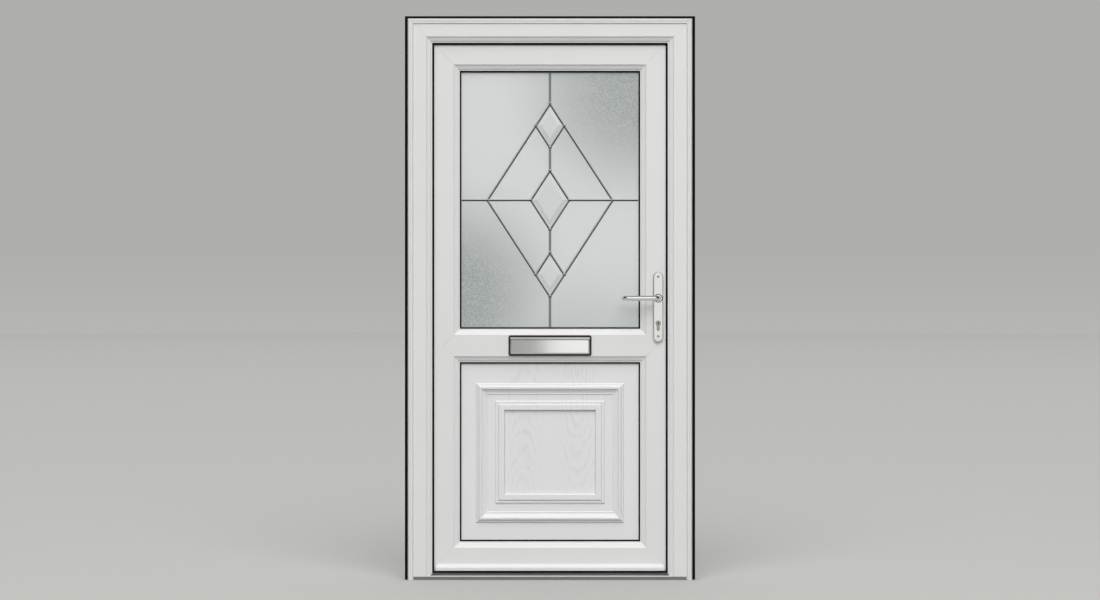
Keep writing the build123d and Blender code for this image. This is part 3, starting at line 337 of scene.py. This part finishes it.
satin, tree, shader, place = material("satin_polished_aluminium")
lengthwise = add(tree, "Mapping", {"Vector": place, "Scale": (POLISH_SHARE, 1.0, 1.0)})
lines = add(tree, "TexNoise", {"Vector": lengthwise.outputs["Vector"], "Scale": 1 / POLISH_LINE,
                               "Detail": 2.0})
tone = add(tree, "MixRGB", {"Fac": lines.outputs["Fac"], "Color1": linear("#DCDCDC"),
                            "Color2": linear("#E7E7E7")})
gloss = add(tree, "MapRange", {"Value": lines.outputs["Fac"], "To Min": 0.05, "To Max": 0.1})
wire(tree, shader, {"Base Color": tone.outputs["Color"], "Metallic": 1.0,
                    "Roughness": gloss.outputs["Result"]})
finish_nodes(satin, "letter_flap")

# %% Nickel brass and zinc
NICKEL_WEAR = 4 * MM
ZINC_CRYSTAL = 6 * MM
nickel, tree, shader, place = material("nickel_plated_brass")
wear = add(tree, "TexNoise", {"Vector": place, "Scale": 1 / NICKEL_WEAR, "Detail": 3.0})
tone = add(tree, "MixRGB", {"Fac": wear.outputs["Fac"], "Color1": linear("#A3A191"),
                            "Color2": linear("#B3B1A2")})
wire(tree, shader, {"Base Color": tone.outputs["Color"], "Metallic": 1.0, "Roughness": 0.3})
finish_nodes(nickel, "lock_cylinder")

zinc, tree, shader, place = material("zinc_plated_steel")
spangle = add(tree, "TexVoronoi", {"Vector": place, "Scale": 1 / ZINC_CRYSTAL})
tone = add(tree, "MixRGB", {"Fac": spangle.outputs["Distance"], "Color1": linear("#A9ACAE"),
                            "Color2": linear("#C2C5C7")})
wire(tree, shader, {"Base Color": tone.outputs["Color"], "Metallic": 1.0, "Roughness": 0.38})
finish_nodes(zinc, "lock_faceplate", "lock_keeps", "spindle")

# %% [markdown]
# ## Powder coat and foam
# The hinges are powder coated: the powder melts and flows out into a slight peel, whiter than the bars. The
# panel's foam core is hidden between its skins, and shows only if they are taken off, so a plain pattern of
# cells is enough for it.

# %% Powder coat and foam
POWDER_PEEL = 2 * MM
FOAM_CELL = 1.5 * MM
powder, tree, shader, place = material("white_powder_coat")
peel = add(tree, "TexNoise", {"Vector": place, "Scale": 1 / POWDER_PEEL, "Detail": 2.0})
tone = add(tree, "MixRGB", {"Fac": peel.outputs["Fac"], "Color1": linear("#E2E2E0"),
                            "Color2": linear("#E8E8E6")})
bump = add(tree, "Bump", {"Height": peel.outputs["Fac"], "Strength": 0.15, "Distance": 0.1 * MM})
wire(tree, shader, {"Base Color": tone.outputs["Color"], "Roughness": 0.35,
                    "Normal": bump.outputs["Normal"]})
finish_nodes(powder, "hinge_frame_leaves", "hinge_sash_leaves")

foam, tree, shader, place = material("rigid_insulating_foam")
cells = add(tree, "TexVoronoi", {"Vector": place, "Scale": 1 / FOAM_CELL})
tone = add(tree, "MixRGB", {"Fac": cells.outputs["Distance"], "Color1": linear("#D8CFAE"),
                            "Color2": linear("#E6DFC4")})
wire(tree, shader, {"Base Color": tone.outputs["Color"], "Roughness": 0.9})
finish_nodes(foam, "panel_core")

# %% [markdown]
# ## Helpers for new pieces
# The small pieces are modelled with bmesh operators, as in Edit Mode but from code. A shape that repeats is
# made once as a pattern and stamped wherever it is needed. Each kind of piece becomes one mesh that rides on
# the part of the door it is fixed to. Its object stays at the origin and only the mesh is moved, so that a
# pattern on Object coordinates stays where it belongs.

# %% Piece helpers
def new_piece(name, bm, finish, body, sharp=40):
    """Turn a bmesh into a piece that rides on a body, with edges sharp above an angle in degrees."""
    bmesh.ops.recalc_face_normals(bm, faces=bm.faces[:])
    for face in bm.faces:
        face.smooth = True
    mesh = bpy.data.meshes.new(name)
    bm.to_mesh(mesh)
    bm.free()
    mesh.set_sharp_from_angle(angle=math.radians(sharp))
    mesh.materials.append(finish)
    piece = bpy.data.objects.new(name, mesh)
    scene.collection.objects.link(piece)
    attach(piece, body)
    print(name, len(mesh.polygons), "faces")
    return piece


def pattern(name, bm):
    """Keep a bmesh as a mesh to stamp elsewhere."""
    mesh = bpy.data.meshes.new(name)
    bm.to_mesh(mesh)
    bm.free()
    return mesh


def stamp(bm, shape, matrix):
    """Add a copy of a pattern, moved by a matrix."""
    first = len(bm.verts)
    bm.from_mesh(shape)
    bm.verts.ensure_lookup_table()
    bmesh.ops.transform(bm, matrix=matrix, verts=bm.verts[first:])


def whole(bm):
    """All of a bmesh, for an operator that wants vertices, edges and faces together."""
    return bm.verts[:] + bm.edges[:] + bm.faces[:]


def moved_up(bm, faces, by):
    """Extrude faces, move the new ones along Z and return their vertices."""
    made = bmesh.ops.extrude_face_region(bm, geom=faces)["geom"]
    verts = [part for part in made if isinstance(part, bmesh.types.BMVert)]
    bmesh.ops.translate(bm, vec=(0, 0, by), verts=verts)
    return verts


# %% [markdown]
# ## Leads
# The pattern on the glass is made of self-adhesive lead strips, half round and 9 mm wide, with a blob of
# solder wherever they meet. Their upper flanks are painted bright and their lower ones dark: painted light
# and shade, as from a lamp above. A curve with a bevel could draw the lines, but its section would be round
# all the way. Here each strip is a half disc, squashed to its low section and drawn out along its line, with
# its flat side on the glass. Strips lie on both faces of the outer pane, so that the pattern shows from the
# room as well.

# %% Lead and solder
OXIDE_CLOUD = 15 * MM
lead, tree, shader, place = material("lead_strip_and_solder")
facing = add(tree, "NewGeometry")
flank = add(tree, "SeparateXYZ", {"Vector": facing.outputs["Normal"]})
# Painted light and shade: flanks that face up are painted bright and those that face down dark
painted_flank_shade = add(tree, "MapRange", {"Value": flank.outputs["Z"], "From Min": -0.10, "From Max": 0.16})
cloud = add(tree, "TexNoise", {"Vector": place, "Scale": 1 / OXIDE_CLOUD, "Detail": 4.0})
bright = add(tree, "MixRGB", {"Fac": cloud.outputs["Fac"], "Color1": linear("#BFC2C2"),
                              "Color2": linear("#D0D3D3")})
tone = add(tree, "MixRGB", {"Fac": painted_flank_shade.outputs["Result"], "Color1": linear("#1E2021"),
                            "Color2": bright.outputs["Color"]})
wire(tree, shader, {"Base Color": tone.outputs["Color"], "Metallic": 0.4, "Roughness": 0.45})
print("lead, bright above and dark below")

# %% Strip and drop
LEAD_HALF = 4.5 * MM
LEAD_RISE = 1.8 * MM
DROP_SPREAD = 1.5  # a solder drop's size as a multiple of the strip's
DROP_RISE = 1.25
PANE_FACES = ((light_low.y, -1.0), (light_high.y, 1.0))  # depth of each face, and the way it looks

bm = bmesh.new()
bmesh.ops.create_circle(bm, cap_ends=True, segments=20, radius=1.0)
bmesh.ops.bisect_plane(bm, geom=whole(bm), plane_co=(0, 0, 0), plane_no=(0, 1, 0), clear_inner=True)
moved_up(bm, bm.faces[:], 1.0)
half_round = pattern("half_round", bm)

bm = bmesh.new()
bmesh.ops.create_uvsphere(bm, u_segments=16, v_segments=10, radius=1.0)
bmesh.ops.bisect_plane(bm, geom=whole(bm), plane_co=(0, 0, 0), plane_no=(0, 1, 0), clear_inner=True)
drop = pattern("solder_drop", bm)


def lead_strip(bm, start, end, face, looks):
    """A strip along one face of the pane, between two points of the pattern."""
    along = Vector((end.x - start.x, 0, end.y - start.y))
    out = Vector((0, looks, 0))
    across = out.cross(along.normalized())
    turned = Matrix((across * LEAD_HALF, out * LEAD_RISE, along)).transposed().to_4x4()
    stamp(bm, half_round, Matrix.Translation((light.x + start.x, face, light.z + start.y)) @ turned)


def solder_drop(bm, point, face, looks):
    """A flattened drop of solder over a joint."""
    spread = DROP_SPREAD * LEAD_HALF
    size = Matrix.Diagonal((spread, DROP_RISE * LEAD_RISE * looks, spread, 1.0))
    stamp(bm, drop, Matrix.Translation((light.x + point.x, face, light.z + point.y)) @ size)


print("half round", len(half_round.polygons), "faces, drop", len(drop.polygons))

# %% The leaded pattern
# Half width and half height of each diamond, and where the leads end at the edge of the pane
BIG_DIAMOND = Vector((231 * MM, 356 * MM))
SMALL_DIAMOND = Vector((52.5 * MM, 81 * MM))
CENTRE_DIAMOND = Vector((70.5 * MM, 109 * MM))
LEAD_END = Vector((325.5 * MM, 468.5 * MM))
tip = Vector((0, BIG_DIAMOND.y))
side = Vector((BIG_DIAMOND.x, 0))
shoulder = Vector((SMALL_DIAMOND.x, BIG_DIAMOND.y - SMALL_DIAMOND.y))
inner_tip = Vector((0, BIG_DIAMOND.y - 2 * SMALL_DIAMOND.y))
centre_tip = Vector((0, CENTRE_DIAMOND.y))
centre_side = Vector((CENTRE_DIAMOND.x, 0))
quarter = [(tip, side), (shoulder, inner_tip), (centre_tip, centre_side)]
axis_lines = [(tip, Vector((0, LEAD_END.y))), (inner_tip, centre_tip)]
cross_lines = [(centre_side, side), (side, Vector((LEAD_END.x, 0)))]
bm = bmesh.new()
for face, looks in PANE_FACES:
    for sx in (1, -1):
        for sz in (1, -1):
            flip = Matrix.Diagonal((sx, sz))
            for start, end in quarter:
                lead_strip(bm, flip @ start, flip @ end, face, looks)
            solder_drop(bm, flip @ shoulder, face, looks)
        for start, end in axis_lines + cross_lines:
            lead_strip(bm, sx * start, sx * end, face, looks)
        for point in (tip, side, inner_tip, centre_tip, centre_side):
            solder_drop(bm, sx * point, face, looks)
leads = new_piece("lead_strips", bm, lead, "leaf")
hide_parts("lead_cames")

# %% [markdown]
# ## The panel's mouldings
# Two raised frames are pressed into the panel's skin. Their steps end in sharp little grooves, called
# quirks, that the solid model keeps plain. A profile could be swept round a rectangle, but insets are
# simpler: the face goes in by a width and is then moved out or back, and each line of the moulding
# mitres itself at the corners.

# %% Moulded panel skin
SKIN_THICK = 3.0 * MM
# Half width and half height of each frame, and how far it sits below the panel's middle
OUTER_FRAME = (273.5 * MM, 258.0 * MM, 5.0 * MM)
INNER_FRAME = (202.0 * MM, 189.8 * MM, 1.8 * MM)
# Steps across each frame from its outside, as width and rise in millimetres
OUTER_STEPS = ((4.0, 4.6), (3.0, 0.2), (7.4, 7.4), (6.2, 0.2), (2.6, -4.8), (12.2, -5.2), (4.2, 0.8),
               (2.8, -3.2))
INNER_STEPS = ((3.2, 4.4), (5.8, 0.0), (1.2, -1.0), (4.3, 5.2), (3.5, 0.4), (15.0, 0.0), (3.2, -9.0))
FLAT_ANGLE = 5  # folds sharper than this many degrees stay crisp


def moulded_frame(bm, face, half_wide, half_tall, below, steps):
    """Start a frame inside a face and follow its steps inwards."""
    bmesh.ops.inset_region(bm, faces=[face], thickness=1 * MM, use_even_offset=True)
    middle = face.calc_center_median()
    reach_x = max(abs(v.co.x - middle.x) for v in face.verts)
    reach_z = max(abs(v.co.z - middle.z) for v in face.verts)
    bmesh.ops.scale(bm, vec=(half_wide / reach_x, 1.0, half_tall / reach_z),
                    space=Matrix.Translation(-middle), verts=face.verts[:])
    bmesh.ops.translate(bm, vec=(panel.x - middle.x, 0.0, panel.z - below - middle.z), verts=face.verts[:])
    for wide, rise in steps:
        bmesh.ops.inset_region(bm, faces=[face], thickness=wide * MM, use_even_offset=True)
        bmesh.ops.translate(bm, vec=(0.0, -rise * MM, 0.0), verts=face.verts[:])


sheet = Vector((panel_high.x - panel_low.x, SKIN_THICK, panel_high.z - panel_low.z))
bm = bmesh.new()
bmesh.ops.create_cube(bm, size=1.0)
bmesh.ops.scale(bm, vec=sheet, verts=bm.verts[:])
bmesh.ops.translate(bm, vec=(panel.x, panel_high.y - SKIN_THICK / 2, panel.z), verts=bm.verts[:])
front = min(bm.faces, key=lambda face: face.calc_center_median().y)
moulded_frame(bm, front, *OUTER_FRAME, OUTER_STEPS)
moulded_frame(bm, front, *INNER_FRAME, INNER_STEPS)
moulded = new_piece("moulded_panel_skin", bm, skin, "leaf", sharp=FLAT_ANGLE)
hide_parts("panel_outer_skin")

# %% [markdown]
# ## Screws
# The handle plates, the hinges and the lock are screwed on. A raised countersunk head with a cross recess is
# enough at this size: a disc is drawn up, its rim rounded, and a cross cut into its top and pushed down. One
# head is made and then stamped wherever a screw sits, each turned to a different angle as a fitter leaves it.

# %% Screw heads
HANDLE_HEAD = 4.6 * MM  # radius
SMALL_HEAD = 3.4 * MM
# Sizes of a head as shares of its radius
HEAD_RISE = 0.3
HEAD_ROUND = 0.25
CROSS_HALF = 0.12
CROSS_ARM = 0.55
CROSS_DEPTH = 0.22
LEVEL = 0.99  # a face looks straight up if its normal's Z is above this


def screw_head(radius):
    """A raised screw head with a cross recess."""
    bm = bmesh.new()
    bmesh.ops.create_circle(bm, cap_ends=True, segments=24, radius=radius)
    upper = moved_up(bm, bm.faces[:], radius * HEAD_RISE)
    rim = [e for e in bm.edges if all(v in upper for v in e.verts)]
    bmesh.ops.bevel(bm, geom=rim, offset=radius * HEAD_ROUND, affect="EDGES", segments=3, profile=0.5,
                    material=-1)
    slot_half = radius * CROSS_HALF
    arm = radius * CROSS_ARM
    for off in (-arm, -slot_half, slot_half, arm):
        for normal in ((1, 0, 0), (0, 1, 0)):
            bm.normal_update()
            flat = [f for f in bm.faces if f.normal.z > LEVEL]
            edges = {e for f in flat for e in f.edges}
            verts = {v for f in flat for v in f.verts}
            bmesh.ops.bisect_plane(bm, geom=flat + list(edges) + list(verts), plane_co=Vector(normal) * off,
                                   plane_no=normal)
    bm.normal_update()
    cross = []
    for face in bm.faces:
        x, y = [abs(c) for c in face.calc_center_median()[:2]]
        if face.normal.z > LEVEL and min(x, y) < slot_half and max(x, y) < arm:
            cross.append(face)
    moved_up(bm, cross, -radius * CROSS_DEPTH)
    return pattern("screw_head", bm)


handle_head = screw_head(HANDLE_HEAD)
small_head = screw_head(SMALL_HEAD)
print("a screw head has", len(small_head.polygons), "faces")

# %% Handle screws
SCREW_BELOW_TOP = 18 * MM
SCREW_ABOVE_FOOT = 21 * MM


def stamped(shape, places):
    """A bmesh with a copy of a pattern at each place: a point, the way it faces and a turn in degrees."""
    bm = bmesh.new()
    for point, outward, turn in places:
        aim = Vector(outward).to_track_quat("Z", "Y").to_matrix().to_4x4()
        stamp(bm, shape, Matrix.Translation(point) @ aim @ Matrix.Rotation(math.radians(turn), 4, "Z"))
    return bm


plate_low, plate_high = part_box("handle_plate_outer")
inner_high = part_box("handle_plate_inner")[1]
handle_x = (plate_low.x + plate_high.x) / 2
plate_screws = []
for height, turn in ((plate_high.z - SCREW_BELOW_TOP, 20), (plate_low.z + SCREW_ABOVE_FOOT, 65)):
    plate_screws.append(((handle_x, plate_low.y, height), (0, -1, 0), turn))
    plate_screws.append(((handle_x, inner_high.y, height), (0, 1, 0), turn + 15))
new_piece("handle_screws", stamped(handle_head, plate_screws), chrome, "leaf")

# %% Hinge screws
HINGE_INSET = 50 * MM  # from the end of the top or bottom hinge to its middle
FLAG_SET_BACK = 6.25 * MM  # seen from the room, the flag's face lies this far behind its knuckle's
PLATE_THICK = 3.5 * MM  # of the hinge's plate on the frame
SCREW_ROWS = ((-36 * MM, 10), (0.0, 50), (36 * MM, 80))  # height from the hinge's middle, and turn
FLAG_COLUMNS = ((10 * MM, 0.0, 0), (31 * MM, 6 * MM, 25))  # from the flag's edge, raised by, turned by
PLATE_COLUMN = 6 * MM
flag_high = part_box("hinge_sash_leaves")[1]
knuckle_low, knuckle_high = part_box("hinge_frame_leaves")
hinge_heights = [knuckle_low.z + HINGE_INSET, (knuckle_low.z + knuckle_high.z) / 2,
                 knuckle_high.z - HINGE_INSET]
flag_face = flag_high.y - FLAG_SET_BACK
plate_face = knuckle_low.y + PLATE_THICK
flag_screws = []
frame_screws = []
for height in hinge_heights:
    for rise, turn in SCREW_ROWS:
        z = height + rise
        for inward, raised, turned in FLAG_COLUMNS:
            flag_screws.append(((flag_high.x - inward, flag_face, z + raised), (0, 1, 0), turn + turned))
        frame_screws.append(((knuckle_low.x + PLATE_COLUMN, plate_face, z), (0, 1, 0), turn + 35))
new_piece("hinge_flag_screws", stamped(small_head, flag_screws), zinc, "leaf")
new_piece("hinge_frame_screws", stamped(small_head, frame_screws), zinc, "frame")

# %% [markdown]
# ## Key plugs and washers
# The key goes into a round plug in each end of the cylinder. It is a thin disc with a slot cut through
# it, and a black disc behind it is painted shade, standing for the dark inside the keyway, so that the slot
# reads as a hole. A black plastic washer runs between each lever's hub and its plate and draws a dark ring
# round the hub.

# %% Key plugs
PLUG_RADIUS = 6.4 * MM
PLUG_THICK = 0.5 * MM
SLOT_HALF = Vector((1.7 * MM, 4.6 * MM))
# The black disc behind the slot is painted shade for the dark inside the keyway
SLOT_SHADE_DISC = (0.9 * PLUG_RADIUS, 0.1 * MM)  # radius and thickness of the black disc behind the slot
CYLINDER_ROUND = 9.5 * MM  # radius of the cylinder's round end


def key_plug():
    """A disc with a key slot through it."""
    bm = bmesh.new()
    bmesh.ops.create_circle(bm, cap_ends=True, segments=32, radius=PLUG_RADIUS)
    for normal, off in (((1, 0, 0), SLOT_HALF.x), ((0, 1, 0), SLOT_HALF.y)):
        for side in (-1, 1):
            bmesh.ops.bisect_plane(bm, geom=whole(bm), plane_co=Vector(normal) * off * side, plane_no=normal)
    middle = [f for f in bm.faces if f.calc_center_median().length < SLOT_HALF.x]
    bmesh.ops.delete(bm, geom=middle, context="FACES_ONLY")
    moved_up(bm, bm.faces[:], PLUG_THICK)
    return pattern("key_plug", bm)


def plain_disc(radius, height):
    """A low round disc."""
    bm = bmesh.new()
    bmesh.ops.create_circle(bm, cap_ends=True, segments=32, radius=radius)
    moved_up(bm, bm.faces[:], height)
    return pattern("disc", bm)


def both_sides(outer_y, inner_y, height):
    """A place outside and one in the room, on the handle's centre line."""
    return [((handle_x, outer_y, height), (0, -1, 0), 0), ((handle_x, inner_y, height), (0, 1, 0), 0)]


cylinder_low, cylinder_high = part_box("lock_cylinder")
key_z = cylinder_high.z - CYLINDER_ROUND
plug_places = both_sides(cylinder_low.y, cylinder_high.y, key_z)
new_piece("key_plugs", stamped(key_plug(), plug_places), nickel, "leaf")
# Painted shade: a black disc behind each slot stands for the dark inside the keyway
new_piece("key_slot_shades", stamped(plain_disc(*SLOT_SHADE_DISC), plug_places), black_abs, "leaf")

# %% Lever washers
WASHER_INNER = 9 * MM
WASHER_OUTER = 16 * MM
WASHER_THICK = 0.5 * MM  # the lever's hub stands 0.6 mm off its plate


def flat_ring(inner, outer, height):
    """A flat washer."""
    bm = bmesh.new()
    bmesh.ops.create_circle(bm, segments=48, radius=inner)
    bmesh.ops.create_circle(bm, segments=48, radius=outer)
    made = bmesh.ops.bridge_loops(bm, edges=bm.edges[:])
    moved_up(bm, made["faces"], height)
    return pattern("flat_ring", bm)


spindle_low, spindle_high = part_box("spindle")
washers = both_sides(plate_low.y, inner_high.y, (spindle_low.z + spindle_high.z) / 2)
ring = flat_ring(WASHER_INNER, WASHER_OUTER, WASHER_THICK)
new_piece("lever_washers", stamped(ring, washers), black_abs, "leaf")

# %% [markdown]
# ## The lock's edge
# When the door stands open its edge shows: screws along the lock's strip, the fronts of the latch and the
# bolts, and the mouths and screws of the keeps on the jamb. The fronts are low blocks whose upper edges are
# rounded by a bevel, and the mouths are thin black ones, painted shade for the dark inside each opening.

# %% Bolt and latch fronts
# Length, width and height of each front
BOLT = (42 * MM, 9 * MM, 1 * MM)
LATCH = (28 * MM, 12 * MM, 2.5 * MM)
# The mouth is a thin black sheet: painted shade for the dark inside a keep's opening
MOUTH_SHADE = (50 * MM, 10 * MM, 0.2 * MM)
FRONT_ROUND = 0.3  # rounding of a front's edges as a share of its height
KEEP_INSET = 70 * MM  # from the end of the top or bottom keep to its middle
KEY_TO_SPINDLE = 92 * MM
KEY_TO_BOLT = 40 * MM
SPINDLE_TO_LATCH = 22 * MM
STRIP_SHARES = (0.012, 0.19, 0.33, 0.61, 0.76, 0.988)  # heights of the screws along the strip
STRIP_TURN = 40  # degrees from one screw to the next


def bolt_front(wide, tall, height):
    """A small block with rounded edges, standing on its base."""
    bm = bmesh.new()
    bmesh.ops.create_cube(bm, size=1.0)
    bmesh.ops.scale(bm, vec=(wide, tall, 2 * height), verts=bm.verts[:])
    upper = [e for e in bm.edges if any(v.co.z > 0 for v in e.verts)]
    bmesh.ops.bevel(bm, geom=upper, offset=FRONT_ROUND * height, affect="EDGES", segments=2, profile=0.5,
                    material=-1)
    return pattern("bolt_front", bm)


strip_low, strip_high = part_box("lock_faceplate")
strip_x = strip_high.x
strip_y = (strip_low.y + strip_high.y) / 2
keep_low, keep_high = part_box("lock_keeps")
keep_heights = [keep_low.z + KEEP_INSET, key_z + KEY_TO_SPINDLE, keep_high.z - KEEP_INSET]
strip_screws = []
for i, share in enumerate(STRIP_SHARES):
    height = strip_low.z + share * (strip_high.z - strip_low.z)
    strip_screws.append(((strip_x, strip_y, height), (1, 0, 0), STRIP_TURN * i))
new_piece("faceplate_screws", stamped(small_head, strip_screws), zinc, "leaf")
bolt_heights = (keep_heights[0], key_z + KEY_TO_BOLT, keep_heights[2])
bolts = [((strip_x, strip_y, z), (1, 0, 0), 90) for z in bolt_heights]
new_piece("bolt_fronts", stamped(bolt_front(*BOLT), bolts), nickel, "leaf")
latch = [((strip_x, strip_y, keep_heights[1] + SPINDLE_TO_LATCH), (1, 0, 0), 90)]
new_piece("latch_front", stamped(bolt_front(*LATCH), latch), nickel, "leaf")

# %% Keep mouths and screws
KEEP_SCREWS = ((-55 * MM, -165), (55 * MM, 165))  # height from the keep's middle, and turn
keep_x = keep_low.x
keep_y = (keep_low.y + keep_high.y) / 2
# Painted shade: a black sheet over each keep's opening
mouth_shades = [((keep_x, keep_y, z), (-1, 0, 0), 90) for z in keep_heights]
new_piece("keep_mouth_shades", stamped(bolt_front(*MOUTH_SHADE), mouth_shades), black_abs, "frame")
keep_screws = [((keep_x, keep_y, z + rise), (-1, 0, 0), turn)
               for z in keep_heights for rise, turn in KEEP_SCREWS]
new_piece("keep_screws", stamped(small_head, keep_screws), zinc, "frame")

# %% [markdown]
# ## Floor and light
# The studio is grey: a pale floor that fades into an even grey wall. A wide disc does for the floor, and the
# world behind it shows the wall's grey to the camera, to mirrors and to glass. The light itself is soft and
# comes mostly from above and in front, so upward faces are brightest and the undersides of the mouldings go
# grey. Metal is only as bright as what it mirrors, so it gets a studio of its own: a white card in front on
# the right, a soft box above, and dark curtains at the sides and overhead that draw its outlines. The main
# lamp is kept out of mirrors, where it would burn a white streak into every rounded edge.

# %% Studio floor
FLOOR_REACH = 60.0
FADE_START = 2.0
floor_mesh = bpy.data.meshes.new("studio_floor")
bm = bmesh.new()
bmesh.ops.create_circle(bm, cap_ends=True, segments=96, radius=FLOOR_REACH)
bm.to_mesh(floor_mesh)
bm.free()
floor = bpy.data.objects.new("studio_floor", floor_mesh)
scene.collection.objects.link(floor)

paint, tree, shader, place = material("studio_floor_paint")
reach = add(tree, "VectorMath", {0: place}, operation="LENGTH")
fade = add(tree, "MapRange", {"Value": reach.outputs["Value"], "From Min": FADE_START,
                              "From Max": FLOOR_REACH})
tone = add(tree, "MixRGB", {"Fac": fade.outputs["Result"], "Color1": linear("#B7B8B4"),
                            "Color2": linear("#ACADA9")})
# The eye, mirrors and glass see the pale paint. What it throws back up at the door is held down, so that the
# undersides stay grey
rays = add(tree, "LightPath")
seen = add(tree, "Math", {0: rays.outputs["Is Camera Ray"], 1: rays.outputs["Is Glossy Ray"]},
           operation="MAXIMUM")
shown = add(tree, "Math", {0: seen.outputs[0], 1: rays.outputs["Is Transmission Ray"]}, operation="MAXIMUM")
thrown = add(tree, "MixRGB", {"Fac": shown.outputs[0], "Color1": linear("#8C8D8B"),
                              "Color2": tone.outputs["Color"]})
wire(tree, shader, {"Base Color": thrown.outputs["Color"], "Roughness": 0.9, "Specular IOR Level": 0.2})
floor_mesh.materials.append(paint)
print("floor reaches", FLOOR_REACH, "m")

# %% Soft light
KEY_AIM = Vector((0.0, 0.67, -0.74))
KEY_ENERGY = 2.5
KEY_SPREAD = math.radians(60)
# Size, brightness, place and aim of the card and of the soft box
CARD = ((5.0, 4.0), 0.68, (2.46, -9.5, 2.4), (2.46, 0.0, 2.4))
TOP_BOX = ((5.0, 3.2), 1.1, (0.4, -4.5, 4.6), (0.0, 0.0, 1.0))


def aimed(direction):
    """The turn that points a lamp along a direction."""
    return direction.to_track_quat("-Z", "Y").to_euler()


def soft_box(name, size, brightness, place, target):
    """A rectangular lamp aimed at a point, as bright as a surface of that linear value."""
    data = bpy.data.lights.new(name, "AREA")
    data.shape = "RECTANGLE"
    data.size, data.size_y = size
    data.energy = brightness * math.pi * size[0] * size[1]
    lamp = bpy.data.objects.new(name, data)
    lamp.location = place
    lamp.rotation_euler = aimed(Vector(target) - Vector(place))
    lamp.visible_camera = False
    scene.collection.objects.link(lamp)
    return lamp


# A white card that only mirrors see: it brightens the flap's right half and the handle, and not the floor
card = soft_box("right_front_card", *CARD)
card.visible_diffuse = False
soft_box("top_front_box", *TOP_BOX)

key_data = bpy.data.lights.new("soft_key", "SUN")
key_data.energy = KEY_ENERGY
key_data.angle = KEY_SPREAD
key = bpy.data.objects.new("soft_key", key_data)
key.rotation_euler = aimed(KEY_AIM)
key.visible_glossy = False
scene.collection.objects.link(key)
print(len(bpy.data.lights), "lamps")

# %% Studio world
WALL_TINT = (1.0, 1.005, 0.975, 1.0)
NEUTRAL = (1.0, 1.0, 1.0, 1.0)
world = bpy.data.worlds.new("studio_world")
scene.world = world
world.use_nodes = True
tree = world.node_tree
tree.nodes.clear()
coords = add(tree, "TexCoord")
aim = add(tree, "SeparateXYZ", {"Vector": coords.outputs["Generated"]})
wall = add(tree, "MapRange", {"Value": aim.outputs["Z"], "From Min": -0.03, "From Max": 0.03,
                              "To Min": 0.475, "To Max": 0.425}, interpolation_type="SMOOTHSTEP")
# Black curtains left and right and a dark ceiling, which only mirrors see
aside = add(tree, "Math", {0: aim.outputs["X"]}, operation="ABSOLUTE")
curtain = add(tree, "MapRange", {"Value": aside.outputs[0], "From Min": 0.4, "From Max": 0.8,
                                 "To Min": 1.0, "To Max": 0.1}, interpolation_type="SMOOTHSTEP")
ceiling = add(tree, "MapRange", {"Value": aim.outputs["Z"], "From Min": 0.3, "From Max": 0.8,
                                 "To Min": 1.0, "To Max": 0.3}, interpolation_type="SMOOTHSTEP")
dark = add(tree, "Math", {0: curtain.outputs["Result"], 1: ceiling.outputs["Result"]}, operation="MULTIPLY")
mirrored = add(tree, "Math", {0: wall.outputs["Result"], 1: dark.outputs[0]}, operation="MULTIPLY")
# Light from the room behind the door is brighter than from the front, where the lamps are
room = add(tree, "MapRange", {"Value": aim.outputs["Y"], "From Min": -0.2, "From Max": 0.6,
                              "To Min": 0.22, "To Max": 0.95})
rays = add(tree, "LightPath")
direct = add(tree, "Math", {0: rays.outputs["Is Camera Ray"], 1: rays.outputs["Is Transmission Ray"]},
             operation="MAXIMUM")
wall_grey = add(tree, "Background", {"Color": WALL_TINT, "Strength": wall.outputs["Result"]})
mirror_grey = add(tree, "Background", {"Color": NEUTRAL, "Strength": mirrored.outputs[0]})
room_light = add(tree, "Background", {"Color": NEUTRAL, "Strength": room.outputs["Result"]})
bounce = add(tree, "MixShader", {0: rays.outputs["Is Glossy Ray"], 1: room_light.outputs[0],
                                 2: mirror_grey.outputs[0]})
either = add(tree, "MixShader", {0: direct.outputs[0], 1: bounce.outputs[0], 2: wall_grey.outputs[0]})
add(tree, "OutputWorld", {"Surface": either.outputs["Shader"]})
print("world of", len(tree.nodes), "nodes")

# %% [markdown]
# ## Camera
# The view is square on. A long lens from 8 m keeps the sides of the frame nearly parallel, as they should be,
# and its focal length follows from the size of a pixel at the door's face.

# %% Camera
PICTURE = Vector((1100, 600))  # pixels
FLOOR_ROW = 580  # the pixel row where the door meets the floor
PIXEL = 3.67 * MM  # size of a pixel at the door's face
DISTANCE = 8.0
SENSOR = 36.0
face_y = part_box("frame_head")[0].y
camera_data = bpy.data.cameras.new("square_on")
camera_data.sensor_width = SENSOR
camera_data.lens = SENSOR * DISTANCE / (PICTURE.x * PIXEL)
camera = bpy.data.objects.new("square_on", camera_data)
camera.location = (0.0, face_y - DISTANCE, (FLOOR_ROW - PICTURE.y / 2) * PIXEL)
camera.rotation_euler = (math.radians(90), 0.0, 0.0)
scene.collection.objects.link(camera)
scene.camera = camera
print("lens", round(camera_data.lens, 1), "mm, camera at", tuple(round(c, 3) for c in camera.location))
